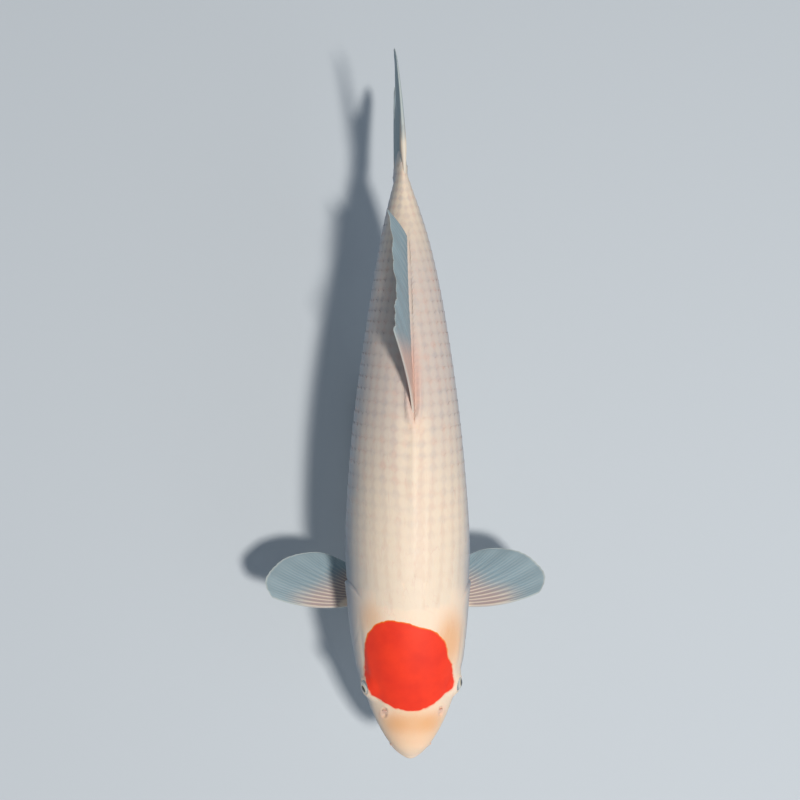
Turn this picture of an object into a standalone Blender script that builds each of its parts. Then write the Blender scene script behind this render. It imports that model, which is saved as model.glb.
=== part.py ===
"""A life-size koi carp of the white tancho kind, swimming level on a plain two-rod display stand.

The fish swims towards -Y with its back up, so its own left side is +X. The origin is on the floor,
under the middle of the fish. The body is one closed skin, shaped section by section from the snout
to the tail root, and parted by thin cuts into head, jaw, gill covers, trunk and tail stalk. The fins
are fans of rays that grow out of that skin. Distances along the fish run from the snout, in
millimetres, and heights run from its long axis.
"""

import math
from dataclasses import dataclass
from functools import partial

import bmesh
import bpy
import numpy as np
from mathutils import Matrix, Vector

MM = 0.001
PART_GAP = 0.3
UP, LEFT, BACKWARD = Vector((0, 0, 1)), Vector((1, 0, 0)), Vector((0, 1, 0))

# The whole fish.
TOTAL_LENGTH = 550.0
BODY_LENGTH = 455.0
AXIS_HEIGHT = 125.0

# The body's sections: distance from the snout, half width, back, belly and level of the widest line.
SECTIONS = (
    (0.0, 6.8, -4.5, -20.0, -12.0),
    (13.0, 17.2, 6.0, -31.0, -12.0),
    (32.0, 27.8, 19.5, -39.5, -9.0),
    (55.0, 36.4, 32.5, -47.0, -6.0),
    (86.0, 43.3, 45.5, -55.0, -3.0),
    (118.0, 46.9, 55.5, -61.0, -1.0),
    (160.0, 48.8, 64.0, -66.0, 1.0),
    (205.0, 46.7, 69.0, -68.5, 3.0),
    (250.0, 42.9, 69.0, -67.5, 4.0),
    (300.0, 36.9, 62.0, -60.5, 4.0),
    (350.0, 29.6, 50.5, -48.0, 3.0),
    (395.0, 21.6, 38.0, -35.0, 2.0),
    (430.0, 13.4, 28.5, -27.0, 1.0),
    (455.0, 5.8, 26.5, -26.5, 0.0),
)
# The long axis bends a little to the fish's right: distance from the snout and offset along +X.
AXIS_BEND = (
    (0.0, 2.0), (45.0, 1.2), (110.0, -0.9), (160.0, -1.7), (215.0, -2.5),
    (350.0, -3.0), (400.0, -4.1), (455.0, -7.0), (550.0, -11.6),
)
BACK_SQUARENESS = 2.15
BELLY_SQUARENESS = 2.05
SNOUT_ROUNDING = 8.5
SNOUT_LEVEL = -12.0
BODY_RINGS, BODY_SIDES = 42, 30
RING_CROWDING = 1.35  # Above 1, the rings of the body stand closer together towards the snout.

# The cuts between the parts of the body.
GILL_ARC = {"centre": (55.0, -3.0), "radii": (80.0, 63.0)}
GILL_COVER = {"centre": (113.0, -9.0), "radii": (28.0, 38.0)}
GILL_COVER_INNER = 24.0
SHOULDER_CUT = 248.0
STALK_CUT = 400.0
OVAL_SIDES = 56
MOUTH_CORNER = 19.0
MOUTH_LEVELS = (-15.5, -25.0)
JAW_HINGE = (47.0, -60.0)

# The barbels: distance from the snout, height, length, thickness and how they lean out, back and down.
BARBELS = {
    "front": (9.5, -9.5, 11.0, 1.1, (0.2, 0.35, 0.85)),
    "rear": (21.0, -22.5, 20.0, 1.5, (0.2, 0.45, 0.8)),
}

# The eyes: distance from the snout, distance from the middle, height and radius.
EYE = (56.0, 31.0, 10.0, 7.5)

# The fins: where the bases of the middle ones start and end, and how far each pectoral fin is swept
# back, in degrees, and stretched.
DORSAL_BASE = (250.0, 395.0)
ANAL_BASE = (346.0, 382.0)
PECTORAL_POSES = {"left": (2.5, 1.035), "right": (-0.5, 0.965)}

# The stand.
BASE_LENGTH, BASE_WIDTH, BASE_HEIGHT = 210.0, 58.0, 10.0
BASE_MIDDLE = 203.0
BASE_CORNER = 10.0
ROD_RADIUS = 4.0
ROD_FOOT_RADIUS, ROD_FOOT_HEIGHT = 11.0, 5.0
ROD_PLACES = {"front": 146.0, "rear": 262.0}

# Plain colours of the solids, as red, green, blue, roughness and metallic.
COLOURS = {
    "skin": (0.80, 0.72, 0.62, 0.35, 0.0),
    "lip": (0.80, 0.66, 0.55, 0.35, 0.0),
    "fin": (0.55, 0.60, 0.60, 0.4, 0.0),
    "eye": (0.03, 0.03, 0.035, 0.1, 0.0),
    "stand_base": (0.72, 0.72, 0.70, 0.5, 0.0),
    "stand_metal": (0.62, 0.63, 0.64, 0.3, 1.0),
}


def smooth_curve(stations, values):
    """A function through the values at those stations that bends evenly (a natural cubic spline)."""
    x, y = np.array(stations, float), np.array(values, float)
    h = np.diff(x)
    n = len(x)
    system, right = np.eye(n), np.zeros(n)
    for i in range(1, n - 1):
        system[i, i - 1 : i + 2] = h[i - 1], 2 * (h[i - 1] + h[i]), h[i]
        right[i] = 6 * ((y[i + 1] - y[i]) / h[i] - (y[i] - y[i - 1]) / h[i - 1])
    bend = np.linalg.solve(system, right)

    def value(at):
        i = int(np.clip(np.searchsorted(x, at) - 1, 0, n - 2))
        a, b = x[i + 1] - at, at - x[i]
        return float(
            (bend[i] * a**3 + bend[i + 1] * b**3) / (6 * h[i])
            + (y[i] / h[i] - bend[i] * h[i] / 6) * a
            + (y[i + 1] / h[i] - bend[i + 1] * h[i] / 6) * b
        )

    return value


PLACES = [row[0] for row in SECTIONS]
HALF_WIDTH, BACK, BELLY, LEVEL = (smooth_curve(PLACES, [row[k] for row in SECTIONS]) for k in range(1, 5))
AXIS_OFFSET = smooth_curve(*zip(*AXIS_BEND))


def in_frame(x, along, height):
    """A point in metres from its offset, its distance from the snout and its height over the axis."""
    return Vector((x, along - TOTAL_LENGTH / 2, height + AXIS_HEIGHT)) * MM


def beside_axis(out, along, height):
    """A point beside the bent axis, that far out to the fish's left."""
    bend = AXIS_OFFSET(along + 0.5) - AXIS_OFFSET(along - 0.5)
    return in_frame(AXIS_OFFSET(along) + out, along - out * bend, height)


def section(along):
    """Half width, back, belly and widest level of the body there, with the snout rounded off."""
    short = max(0.0, 1 - along / SNOUT_ROUNDING)
    share = math.sqrt(1 - min(1.0, short) ** 2)
    back, belly, level = (SNOUT_LEVEL + (f(along) - SNOUT_LEVEL) * share for f in (BACK, BELLY, LEVEL))
    return HALF_WIDTH(along) * share, back, belly, level


def body_point(along, angle, grow=0.0):
    """A point of the skin at that angle round the axis, 0 on the left side and 90 degrees on the back."""
    width, back, belly, level = section(along)
    up = math.sin(angle) >= 0
    height = (back - level if up else level - belly) + grow
    power = 2 / (BACK_SQUARENESS if up else BELLY_SQUARENESS)
    c, s = math.cos(angle), math.sin(angle)
    out = (width + grow) * math.copysign(abs(c) ** power, c)
    rise = height * math.copysign(abs(s) ** power, s)
    return beside_axis(out, along + grow * (2 * along / BODY_LENGTH - 1), level + rise)


def side_at(along, height):
    """How far the skin is from the axis at that height over it."""
    width, back, belly, level = section(along)
    up = height >= level
    reach, power = (back - level, BACK_SQUARENESS) if up else (level - belly, BELLY_SQUARENESS)
    return width * max(0.0, 1 - (abs(height - level) / reach) ** power) ** (1 / power)


def mouth_level(along):
    """Height of the mouth slit, from the front of the lips back to the corner of the mouth."""
    front, corner = MOUTH_LEVELS
    return front + (corner - front) * along / MOUTH_CORNER


# Making and placing objects.


def collection(name):
    """A new collection in the scene."""
    made = bpy.data.collections.new(name)
    bpy.context.scene.collection.children.link(made)
    return made


def material(name, colour):
    """A plain Principled material of that colour."""
    red, green, blue, roughness, metallic = COLOURS[colour]
    made = bpy.data.materials.new(name)
    made.use_nodes = True
    shader = made.node_tree.nodes["Principled BSDF"]
    shader.inputs["Base Color"].default_value = (red, green, blue, 1)
    shader.inputs["Roughness"].default_value = roughness
    shader.inputs["Metallic"].default_value = metallic
    return made


def add_object(name, mesh, group, colour=None):
    """An object of that mesh in that collection. Without a colour it is a cutter, which doesn't show."""
    made = bpy.data.objects.new(name, mesh)
    group.objects.link(made)
    if colour is None:
        made.hide_render = True
        made.display_type = "WIRE"
    else:
        mesh.materials.clear()
        mesh.materials.append(material(name, colour))
    return made


def mesh_of(name, bm, smooth=True):
    """The mesh of a bmesh, with its faces pointing out."""
    bmesh.ops.recalc_face_normals(bm, faces=bm.faces)
    mesh = bpy.data.meshes.new(name)
    bm.to_mesh(mesh)
    bm.free()
    if smooth:
        mesh.shade_smooth()
        mesh.set_sharp_from_angle(angle=math.radians(40))
    return mesh


def combine(target, cutter, operation):
    """A live Boolean of the target with the cutter: INTERSECT, DIFFERENCE or UNION."""
    step = target.modifiers.new(f"{operation.lower()} {cutter.name}", "BOOLEAN")
    step.operation = operation
    step.object = cutter
    step.solver = "EXACT"
    return target


def mesh_from_curve(curve):
    """The closed mesh of a curve object, which it replaces."""
    bpy.context.view_layer.update()
    mesh = bpy.data.meshes.new_from_object(curve.evaluated_get(bpy.context.evaluated_depsgraph_get()))
    mesh.transform(curve.matrix_world)
    bm = bmesh.new()
    bm.from_mesh(mesh)
    bpy.data.meshes.remove(mesh)
    bmesh.ops.remove_doubles(bm, verts=bm.verts, dist=0.01 * MM)
    bpy.data.objects.remove(curve)
    return bm


# The skin and the cutters.


def body_mesh(name, grow=0.0):
    """The whole body's skin, shaped from a sphere whose poles go to the snout and the tail root."""
    bm = bmesh.new()
    bmesh.ops.create_uvsphere(bm, u_segments=BODY_SIDES, v_segments=BODY_RINGS, radius=1)
    last_ring = (BODY_RINGS - 1) / BODY_RINGS
    for vertex in bm.verts:
        share = math.acos(max(-1.0, min(1.0, vertex.co.z))) / math.pi
        along = BODY_LENGTH * min(1.0, share / last_ring) ** RING_CROWDING
        if share > 1 - 0.1 / BODY_RINGS:
            vertex.co = beside_axis(0, BODY_LENGTH + grow, LEVEL(BODY_LENGTH))
        else:
            vertex.co = body_point(along, math.atan2(vertex.co.y, vertex.co.x), grow)
    return mesh_of(name, bm)


def oval_cutter(name, group, centre, radii, across, grow=0.0):
    """An oval block that runs across the fish, seen as an oval from its side."""
    bm = bmesh.new()
    bmesh.ops.create_cone(bm, cap_ends=True, segments=OVAL_SIDES, radius1=1, radius2=1, depth=1)
    bmesh.ops.rotate(bm, verts=bm.verts, matrix=Matrix.Rotation(math.pi / 2, 3, "Y"))
    near, far = across[0] - grow, across[1] + grow
    size = (far - near, radii[0] + grow, radii[1] + grow)
    bmesh.ops.scale(bm, verts=bm.verts, vec=Vector(size) * MM)
    bmesh.ops.translate(bm, verts=bm.verts, vec=in_frame((near + far) / 2, *centre))
    return add_object(name, mesh_of(name, bm), group)


def length_cutter(name, group, start, end):
    """A block that holds all of the fish between two distances from the snout."""
    bm = bmesh.new()
    bmesh.ops.create_cube(bm, size=1)
    bmesh.ops.scale(bm, verts=bm.verts, vec=Vector((200, end - start, 250)) * MM)
    bmesh.ops.translate(bm, verts=bm.verts, vec=in_frame(0, (start + end) / 2, 0))
    return add_object(name, mesh_of(name, bm, smooth=False), group)


def jaw_cutter(name, group, grow=0.0):
    """A block that holds the lower jaw: all that lies under the mouth slit and before the jaw's hinge."""
    front, corner = MOUTH_LEVELS
    hinge_along, chin = JAW_HINGE
    outline = (
        (-20.0, mouth_level(-20.0) + grow),
        (MOUTH_CORNER + grow, corner + grow),
        (hinge_along + grow, chin + grow),
        (hinge_along, -90.0),
        (-20.0, -90.0),
    )
    curve = bpy.data.curves.new(name, "CURVE")
    curve.dimensions = "2D"
    curve.fill_mode = "BOTH"
    curve.extrude = 60 * MM
    spline = curve.splines.new("POLY")
    spline.points.add(len(outline) - 1)
    for point, (along, height) in zip(spline.points, outline):
        point.co = (along * MM, height * MM, 0, 1)
    spline.use_cyclic_u = True
    drawn = bpy.data.objects.new(name, curve)
    group.objects.link(drawn)
    # The outline's own x runs along the fish and its y runs up.
    turn = Matrix(((0, 0, 1), (1, 0, 0), (0, 1, 0))).to_4x4()
    drawn.matrix_world = Matrix.Translation(in_frame(0, 0, 0)) @ turn
    return add_object(name, mesh_of(name, mesh_from_curve(drawn), smooth=False), group)


# The body and what is set in it.


def eye_centre(side):
    """The centre of an eyeball, side being 1 for the fish's left and -1 for its right."""
    along, out, height, _ = EYE
    return beside_axis(side * out, along, height)


def eyeball(name, group, side, grow=0.0, colour=None):
    """An eyeball, or the socket round it where grow leaves room."""
    bm = bmesh.new()
    bmesh.ops.create_uvsphere(bm, u_segments=16, v_segments=10, radius=(EYE[3] + grow) * MM)
    bmesh.ops.rotate(bm, verts=bm.verts, matrix=Matrix.Rotation(math.pi / 2, 3, "Y"))
    made = add_object(name, mesh_of(name, bm), group, colour)
    made.location = eye_centre(side)
    return made


def build_body(parts, cutters):
    """Head, jaw, gill covers, trunk and tail stalk, each a piece of the one skin."""
    arc = partial(oval_cutter, group=cutters, across=(-60.0, 60.0), **GILL_ARC)
    head_block, head_block_grown = arc("cut_head"), arc("cut_head_grown", grow=PART_GAP)
    jaw_block, jaw_block_grown = jaw_cutter("cut_jaw", cutters), jaw_cutter("cut_jaw_grown", cutters, PART_GAP)
    skin = body_mesh("koi_body")

    def piece(name, *steps):
        made = add_object(name, skin.copy(), parts, "skin")
        for cutter, operation in steps:
            combine(made, cutter, operation)
        return made

    head = piece("head", (head_block, "INTERSECT"), (jaw_block_grown, "DIFFERENCE"))
    for side, word in ((1, "left"), (-1, "right")):
        across = tuple(sorted((side * GILL_COVER_INNER, side * 70.0)))
        plate = partial(oval_cutter, group=cutters, across=across, **GILL_COVER)
        cover, cover_grown = plate(f"cut_cover_{word}"), plate(f"cut_cover_{word}_grown", grow=PART_GAP)
        combine(head, cover_grown, "DIFFERENCE")
        combine(head, eyeball(f"cut_socket_{word}", cutters, side, PART_GAP), "DIFFERENCE")
        piece(f"gill_cover_{word}", (head_block, "INTERSECT"), (cover, "INTERSECT"))
        eyeball(f"eye_{word}", parts, side, colour="eye")
    piece("lower_jaw", (jaw_block, "INTERSECT"))
    before = length_cutter("cut_trunk_front", cutters, -30.0, SHOULDER_CUT)
    middle = length_cutter("cut_trunk_rear", cutters, SHOULDER_CUT + PART_GAP, STALK_CUT)
    behind = length_cutter("cut_tail_stalk", cutters, STALK_CUT + PART_GAP, BODY_LENGTH + 40)
    piece("trunk_front", (head_block_grown, "DIFFERENCE"), (before, "INTERSECT"))
    piece("trunk_rear", (middle, "INTERSECT"))
    piece("tail_stalk", (behind, "INTERSECT"))


def tube(name, group, points, radii, colour, sides=2):
    """A closed round tube along those points, in metres, with its own radius at each, in millimetres."""
    curve = bpy.data.curves.new(name, "CURVE")
    curve.dimensions = "3D"
    curve.bevel_depth = MM
    curve.bevel_resolution = sides
    curve.use_fill_caps = True
    spline = curve.splines.new("POLY")
    spline.points.add(len(points) - 1)
    for control, point, radius in zip(spline.points, points, radii):
        control.co = (*point, 1)
        control.radius = radius
    drawn = bpy.data.objects.new(name, curve)
    group.objects.link(drawn)
    return add_object(name, mesh_of(name, mesh_from_curve(drawn)), group, colour)


def build_lips(parts, skin_grown):
    """The two fleshy lips, rolls that follow the mouth slit round the snout from corner to corner."""
    half, thick, thin, inset, steps = PART_GAP / 2 + 0.1, 2.2, 1.1, 0.6, 9
    for name, up in (("upper_lip", 1), ("lower_lip", -1)):

        def centre_height(along):
            """Height of the roll's middle there."""
            share = along / MOUTH_CORNER
            return mouth_level(along) + up * (thick + (thin - thick) * share + half)

        front = next(along for along in np.arange(0.0, 6.0, 0.05) if side_at(along, centre_height(along)) > 0.5)
        points, radii = [], []
        for k in range(-steps, steps + 1):
            share = (k / steps) ** 2
            along = front + (MOUTH_CORNER - 2.0 - front) * share
            height = centre_height(along)
            out = math.copysign(side_at(along, height) - inset * share, k) if k else 0.0
            points.append(beside_axis(out, along + inset * (1 - share), height))
            radii.append(abs(height - mouth_level(along)) - half)
        combine(tube(name, parts, points, radii, "lip"), skin_grown, "DIFFERENCE")


def build_barbels(parts, skin_grown):
    """Two pairs of barbels: a short pair on the upper lip and a longer pair at the corners of the mouth."""
    buried, bare, steps = 1.2, 1.2, 7
    for pair, (along, height, length, radius, lean) in BARBELS.items():
        out_lean, back_lean, down_lean = lean
        for side, word in ((1, "left"), (-1, "right")):
            root = beside_axis(side * (side_at(along, height) - buried), along, height)
            points, radii = [], []
            for k in range(steps + 1):
                share = k / steps
                out = side * ((buried + bare) * min(share * 3, 1) + length * out_lean * share * (1 - 0.4 * share))
                fall = BACKWARD * back_lean * share - UP * down_lean * share
                points.append(root + (LEFT * out + fall * length * share) * MM)
                radii.append(radius * (1 - 0.6 * share))
            barbel = tube(f"barbel_{pair}_{word}", parts, points, radii, "lip", sides=1)
            combine(barbel, skin_grown, "DIFFERENCE")


# Fins.


@dataclass(frozen=True)
class Fin:
    """A fan of rays, sized in millimetres and degrees, that grows out of the skin.

    The first ray leads and the last one trails. Values that change from ray to ray are given for the
    first and the last ray, and lengths are spread evenly over the rays.
    """

    base: tuple  # The points, under the skin, where the first and the last ray start.
    span: Vector  # Straight out of the body.
    chord: Vector  # Along the base, towards the last ray.
    lean: Vector  # Across the fin, the way that its rays bend.
    angles: tuple  # How far the rays rake from span towards chord.
    sweep: tuple  # How much further they turn on their way out.
    lengths: tuple
    bend: tuple  # How far the tips go in the direction of lean, as a share of the length.
    thickness: tuple  # At the first ray's root, at the last ray's root and at the margin.
    rays: int
    steps: int
    bend_power: float = 1.5

    def point(self, u, v):
        """A point of the middle surface: u runs from the first ray to the last, v from root to tip."""
        length = smooth_curve(np.linspace(0, 1, len(self.lengths)), self.lengths)(u)
        angle = math.radians(between(self.angles, u))
        turn = math.radians(between(self.sweep, u)) or 1e-6
        out = (math.sin(angle + turn * v) - math.sin(angle)) / turn
        back = (math.cos(angle) - math.cos(angle + turn * v)) / turn
        bend = between(self.bend, u)
        offset = self.span * out * math.sqrt(1 - bend**2) + self.chord * back
        offset += self.lean * bend * v**self.bend_power
        return Vector(self.base[0]).lerp(Vector(self.base[1]), u) + offset * length

    def thickness_at(self, u, v):
        """Thickness at a point of the middle surface."""
        first, last, margin = self.thickness
        root = between((first, last), math.sqrt(u))
        return root + (margin - root) * v**0.6

    def build(self, name, parts, skin_grown):
        """A thin solid round the middle surface, cut off where it meets the skin."""
        bm = bmesh.new()
        bmesh.ops.create_grid(bm, x_segments=self.rays, y_segments=self.steps, size=1)
        mesh = bpy.data.meshes.new(name)
        bm.to_mesh(mesh)
        bm.free()
        mesh.shade_smooth()
        made = add_object(name, mesh, parts, "fin")
        group = made.vertex_groups.new(name="thickness")
        thickest = max(self.thickness)
        for vertex in mesh.vertices:
            u, v = (vertex.co.x + 1) / 2, (vertex.co.y + 1) / 2
            vertex.co = in_frame(*self.point(u, v))
            group.add([vertex.index], self.thickness_at(u, v) / thickest, "REPLACE")
        shell = made.modifiers.new("thickness", "SOLIDIFY")
        shell.thickness = thickest * MM
        shell.offset = 0
        shell.vertex_group = group.name
        combine(made, skin_grown, "DIFFERENCE")


def between(ends, share):
    """A value that far between two."""
    return ends[0] + (ends[1] - ends[0]) * share


def rolled(direction, degrees):
    """A direction across the fish, turned down about its long axis."""
    return direction @ Matrix.Rotation(-math.copysign(math.radians(degrees), direction.x), 3, "Y")


def beside(along, height, out=0.0):
    """A point beside the bent axis, in millimetres, as a fin's root is given."""
    return AXIS_OFFSET(along) + out, along, height


def build_middle_fins(parts, skin_grown):
    """The dorsal fin, which leans to the fish's right, the anal fin and the two lobes of the tail fin."""
    dorsal_depth, anal_depth = 5.0, 4.0
    Fin(
        base=tuple(beside(along, section(along)[1] - dorsal_depth) for along in DORSAL_BASE),
        span=UP, chord=BACKWARD, lean=-LEFT, angles=(52, 48), sweep=(16, 10),
        lengths=(73, 60, 49, 41, 36, 32, 29), bend=(0.25, 0.58), thickness=(6.5, 3.0, 0.9), rays=18, steps=5,
    ).build("dorsal_fin", parts, skin_grown)
    Fin(
        base=tuple(beside(along, section(along)[2] + anal_depth) for along in ANAL_BASE),
        span=-UP, chord=BACKWARD, lean=LEFT, angles=(30, 44), sweep=(14, 8),
        lengths=(50, 54, 50, 43, 35, 29), bend=(0.05, 0.12), thickness=(4.0, 2.5, 0.9), rays=9, steps=4,
    ).build("anal_fin", parts, skin_grown)
    root, outer = BODY_LENGTH - 3.0, 25.0
    run = Vector(beside(TOTAL_LENGTH, 0)) - Vector(beside(BODY_LENGTH, 0))
    for word, up in (("upper", 1), ("lower", -1)):
        Fin(
            base=(beside(root, up * outer), beside(root, up * (PART_GAP / 2 + 0.25))),
            span=run.normalized(), chord=-up * UP, lean=-up * LEFT, angles=(-22, 0), sweep=(10, 0),
            lengths=(90, 101, 95, 81, 68, 59, 54), bend=(0.045, 0), thickness=(4.0, 9.0, 0.9), rays=12, steps=6,
        ).build(f"tail_fin_{word}", parts, skin_grown)


def build_paired_fins(parts, skin_grown):
    """The pectoral fins, held out to the sides, and the pelvic fins, folded down under the belly."""
    for side, word in ((1, "left"), (-1, "right")):
        out = LEFT * side
        sweep_back, stretch = PECTORAL_POSES[word]
        Fin(
            base=(beside(118, -40, side * 33 - 0.5), beside(138, -46, side * 31)),
            span=rolled(out, -7), chord=BACKWARD, lean=-UP,
            angles=(sweep_back - 14, sweep_back + 34), sweep=(36, 16),
            lengths=tuple(stretch * length for length in (76, 83, 79, 70, 56, 40, 28)),
            bend=(0.04, 0.16), thickness=(5.0, 3.0, 0.8), rays=14, steps=6, bend_power=2.0,
        ).build(f"pectoral_fin_{word}", parts, skin_grown)
        Fin(
            base=(beside(240, section(240)[2] + 7, side * 14), beside(253, section(253)[2] + 8, side * 9)),
            span=rolled(out, 55), chord=BACKWARD, lean=-UP, angles=(40, 80), sweep=(18, 6),
            lengths=(56, 61, 59, 51, 38), bend=(0, 0.1), thickness=(3.6, 2.4, 0.8), rays=9, steps=5,
            bend_power=2.0,
        ).build(f"pelvic_fin_{word}", parts, skin_grown)


# The stand.


def build_stand(parts, skin_grown):
    """A flat base and two short rods whose tops are cut to the belly they carry."""
    bm = bmesh.new()
    bmesh.ops.create_cube(bm, size=1)
    bmesh.ops.scale(bm, verts=bm.verts, vec=Vector((BASE_WIDTH, BASE_LENGTH, BASE_HEIGHT)) * MM)
    upright = [edge for edge in bm.edges if abs(edge.verts[0].co.z - edge.verts[1].co.z) > MM]
    bmesh.ops.bevel(bm, geom=upright, offset=BASE_CORNER * MM, segments=5, profile=0.5, affect="EDGES")
    rim = [edge for edge in bm.edges if min(v.co.z for v in edge.verts) > 0]
    bmesh.ops.bevel(bm, geom=rim, offset=1.5 * MM, segments=2, profile=0.5, affect="EDGES")
    base = add_object("stand_base", mesh_of("stand_base", bm), parts, "stand_base")
    base.location = in_frame(AXIS_OFFSET(BASE_MIDDLE), BASE_MIDDLE, BASE_HEIGHT / 2 - AXIS_HEIGHT)
    for word, along in ROD_PLACES.items():
        top = AXIS_HEIGHT + section(along)[2] + 15.0
        bottom = BASE_HEIGHT + PART_GAP
        profile = (
            (0, top), (ROD_RADIUS, top), (ROD_RADIUS, bottom + ROD_FOOT_HEIGHT + 2),
            (ROD_RADIUS + 2, bottom + ROD_FOOT_HEIGHT), (ROD_FOOT_RADIUS, bottom + ROD_FOOT_HEIGHT - 2),
            (ROD_FOOT_RADIUS, bottom), (0, bottom),
        )
        mesh = bpy.data.meshes.new(f"stand_rod_{word}")
        edges = [(k, k + 1) for k in range(len(profile) - 1)]
        mesh.from_pydata([(x * MM, 0, z * MM) for x, z in profile], edges, [])
        rod = add_object(f"stand_rod_{word}", mesh, parts, "stand_metal")
        rod.location = in_frame(AXIS_OFFSET(along), along, -AXIS_HEIGHT)
        spin = rod.modifiers.new("turned", "SCREW")
        spin.steps = spin.render_steps = 20
        spin.use_merge_vertices = True
        spin.merge_threshold = 0.00001
        spin.use_smooth_shade = True
        combine(rod, skin_grown, "DIFFERENCE")


def main():
    for old in list(bpy.data.objects):
        bpy.data.objects.remove(old)
    parts, cutters = collection("koi_carp"), collection("cutters")
    skin_grown = add_object("cut_skin_grown", body_mesh("cut_skin_grown", PART_GAP), cutters)
    build_body(parts, cutters)
    build_lips(parts, skin_grown)
    build_barbels(parts, skin_grown)
    build_middle_fins(parts, skin_grown)
    build_paired_fins(parts, skin_grown)
    build_stand(parts, skin_grown)


if __name__ == "__main__":
    main()
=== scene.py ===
"""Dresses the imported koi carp: one sculpted skin, overlapping scales, rayed fins, eyes and a stand.

The fish swims towards -Y with its back up, so its own left side is +X. Distances along the fish run
from the snout, heights from its long axis and outs from its middle, all in millimetres. The skin,
the scales and the fins are made from the same rules as the solids they replace, so they lie in place.
"""

from __future__ import annotations

import logging
import math
from dataclasses import dataclass, field
from enum import Enum

import bmesh
import bpy
import numpy as np
from mathutils import Matrix, Vector


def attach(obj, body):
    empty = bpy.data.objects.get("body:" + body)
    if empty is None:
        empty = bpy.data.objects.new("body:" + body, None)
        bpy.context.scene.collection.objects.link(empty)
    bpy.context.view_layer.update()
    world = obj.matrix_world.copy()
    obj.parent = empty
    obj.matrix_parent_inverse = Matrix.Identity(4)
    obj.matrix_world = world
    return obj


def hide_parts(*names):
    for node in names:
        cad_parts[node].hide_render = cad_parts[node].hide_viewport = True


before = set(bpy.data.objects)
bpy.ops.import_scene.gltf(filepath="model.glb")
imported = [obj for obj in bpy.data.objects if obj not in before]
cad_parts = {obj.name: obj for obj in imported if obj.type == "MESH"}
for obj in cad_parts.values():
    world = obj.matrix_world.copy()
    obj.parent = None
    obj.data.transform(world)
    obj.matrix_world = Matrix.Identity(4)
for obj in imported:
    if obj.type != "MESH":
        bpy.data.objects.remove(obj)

LOG = logging.getLogger("koi_carp")
Array = np.ndarray

MM = 0.001
BODY = "root"
BAKE_MAP = "OFBake"
TOTAL_LENGTH, BODY_LENGTH, AXIS_HEIGHT = 550.0, 455.0, 125.0
COAT_DEPTH = 0.95
SIDES = {"left": 1, "right": -1}
LEFTWARD, BACKWARD, UP = np.eye(3)

Socket = bpy.types.NodeSocket
SMOOTH = {"interpolation_type": "SMOOTHSTEP"}
COLOURS = {"data_type": "RGBA"}


def ramp(value: Array, start: float, end: float) -> Array:
    """A smooth step from 0 at start to 1 at end, which may lie either way round."""
    share = np.clip((value - start) / (end - start), 0.0, 1.0)
    return share * share * (3 - 2 * share)


def bump(value: Array, width: float) -> Array:
    """A smooth hump of height 1 round 0, that wide on each side."""
    return np.exp(-((value / width) ** 2))


def between(ends: tuple[float, float], share: Array) -> Array:
    """A value that far between two."""
    return ends[0] + (ends[1] - ends[0]) * share


def read(table: tuple, at: Array) -> Array:
    """The value there in a table of stations and values, straight between two of them."""
    return np.interp(at, *zip(*table))


def linear(code: str) -> tuple[float, float, float, float]:
    """Turns an sRGB hex colour to the linear values that a shader takes.

    Args:
        code: Six hex digits after a hash sign.

    Returns:
        Red, green, blue and a full alpha.
    """
    parts = [int(code[k : k + 2], 16) / 255 for k in (1, 3, 5)]
    return (*((c / 12.92 if c <= 0.04045 else ((c + 0.055) / 1.055) ** 2.4) for c in parts), 1.0)


class SmoothCurve:
    """A curve through values at given stations that bends evenly (a natural cubic spline)."""

    def __init__(self, stations: Array, values: Array) -> None:
        """Solves for the bend at every station.

        Args:
            stations: Where the values stand, in rising order.
            values: The value at each station.
        """
        self.x, self.y = np.asarray(stations, float), np.asarray(values, float)
        self.h = np.diff(self.x)
        count = len(self.x)
        system, right = np.eye(count), np.zeros(count)
        for i in range(1, count - 1):
            system[i, i - 1 : i + 2] = self.h[i - 1], 2 * (self.h[i - 1] + self.h[i]), self.h[i]
            right[i] = 6 * (np.diff(self.y)[i] / self.h[i] - np.diff(self.y)[i - 1] / self.h[i - 1])
        self.bend = np.linalg.solve(system, right)

    def __call__(self, at: Array) -> Array:
        """The value there.

        Args:
            at: Where to read the curve.

        Returns:
            Its values there.
        """
        at = np.asarray(at, float)
        i = np.clip(np.searchsorted(self.x, at) - 1, 0, len(self.x) - 2)
        a, b, h = self.x[i + 1] - at, at - self.x[i], self.h[i]
        cubic = (self.bend[i] * a**3 + self.bend[i + 1] * b**3) / (6 * h)
        before = self.y[i] / h - self.bend[i] * h / 6
        after = self.y[i + 1] / h - self.bend[i + 1] * h / 6
        return cubic + before * a + after * b


# Meshes from arrays.


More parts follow.
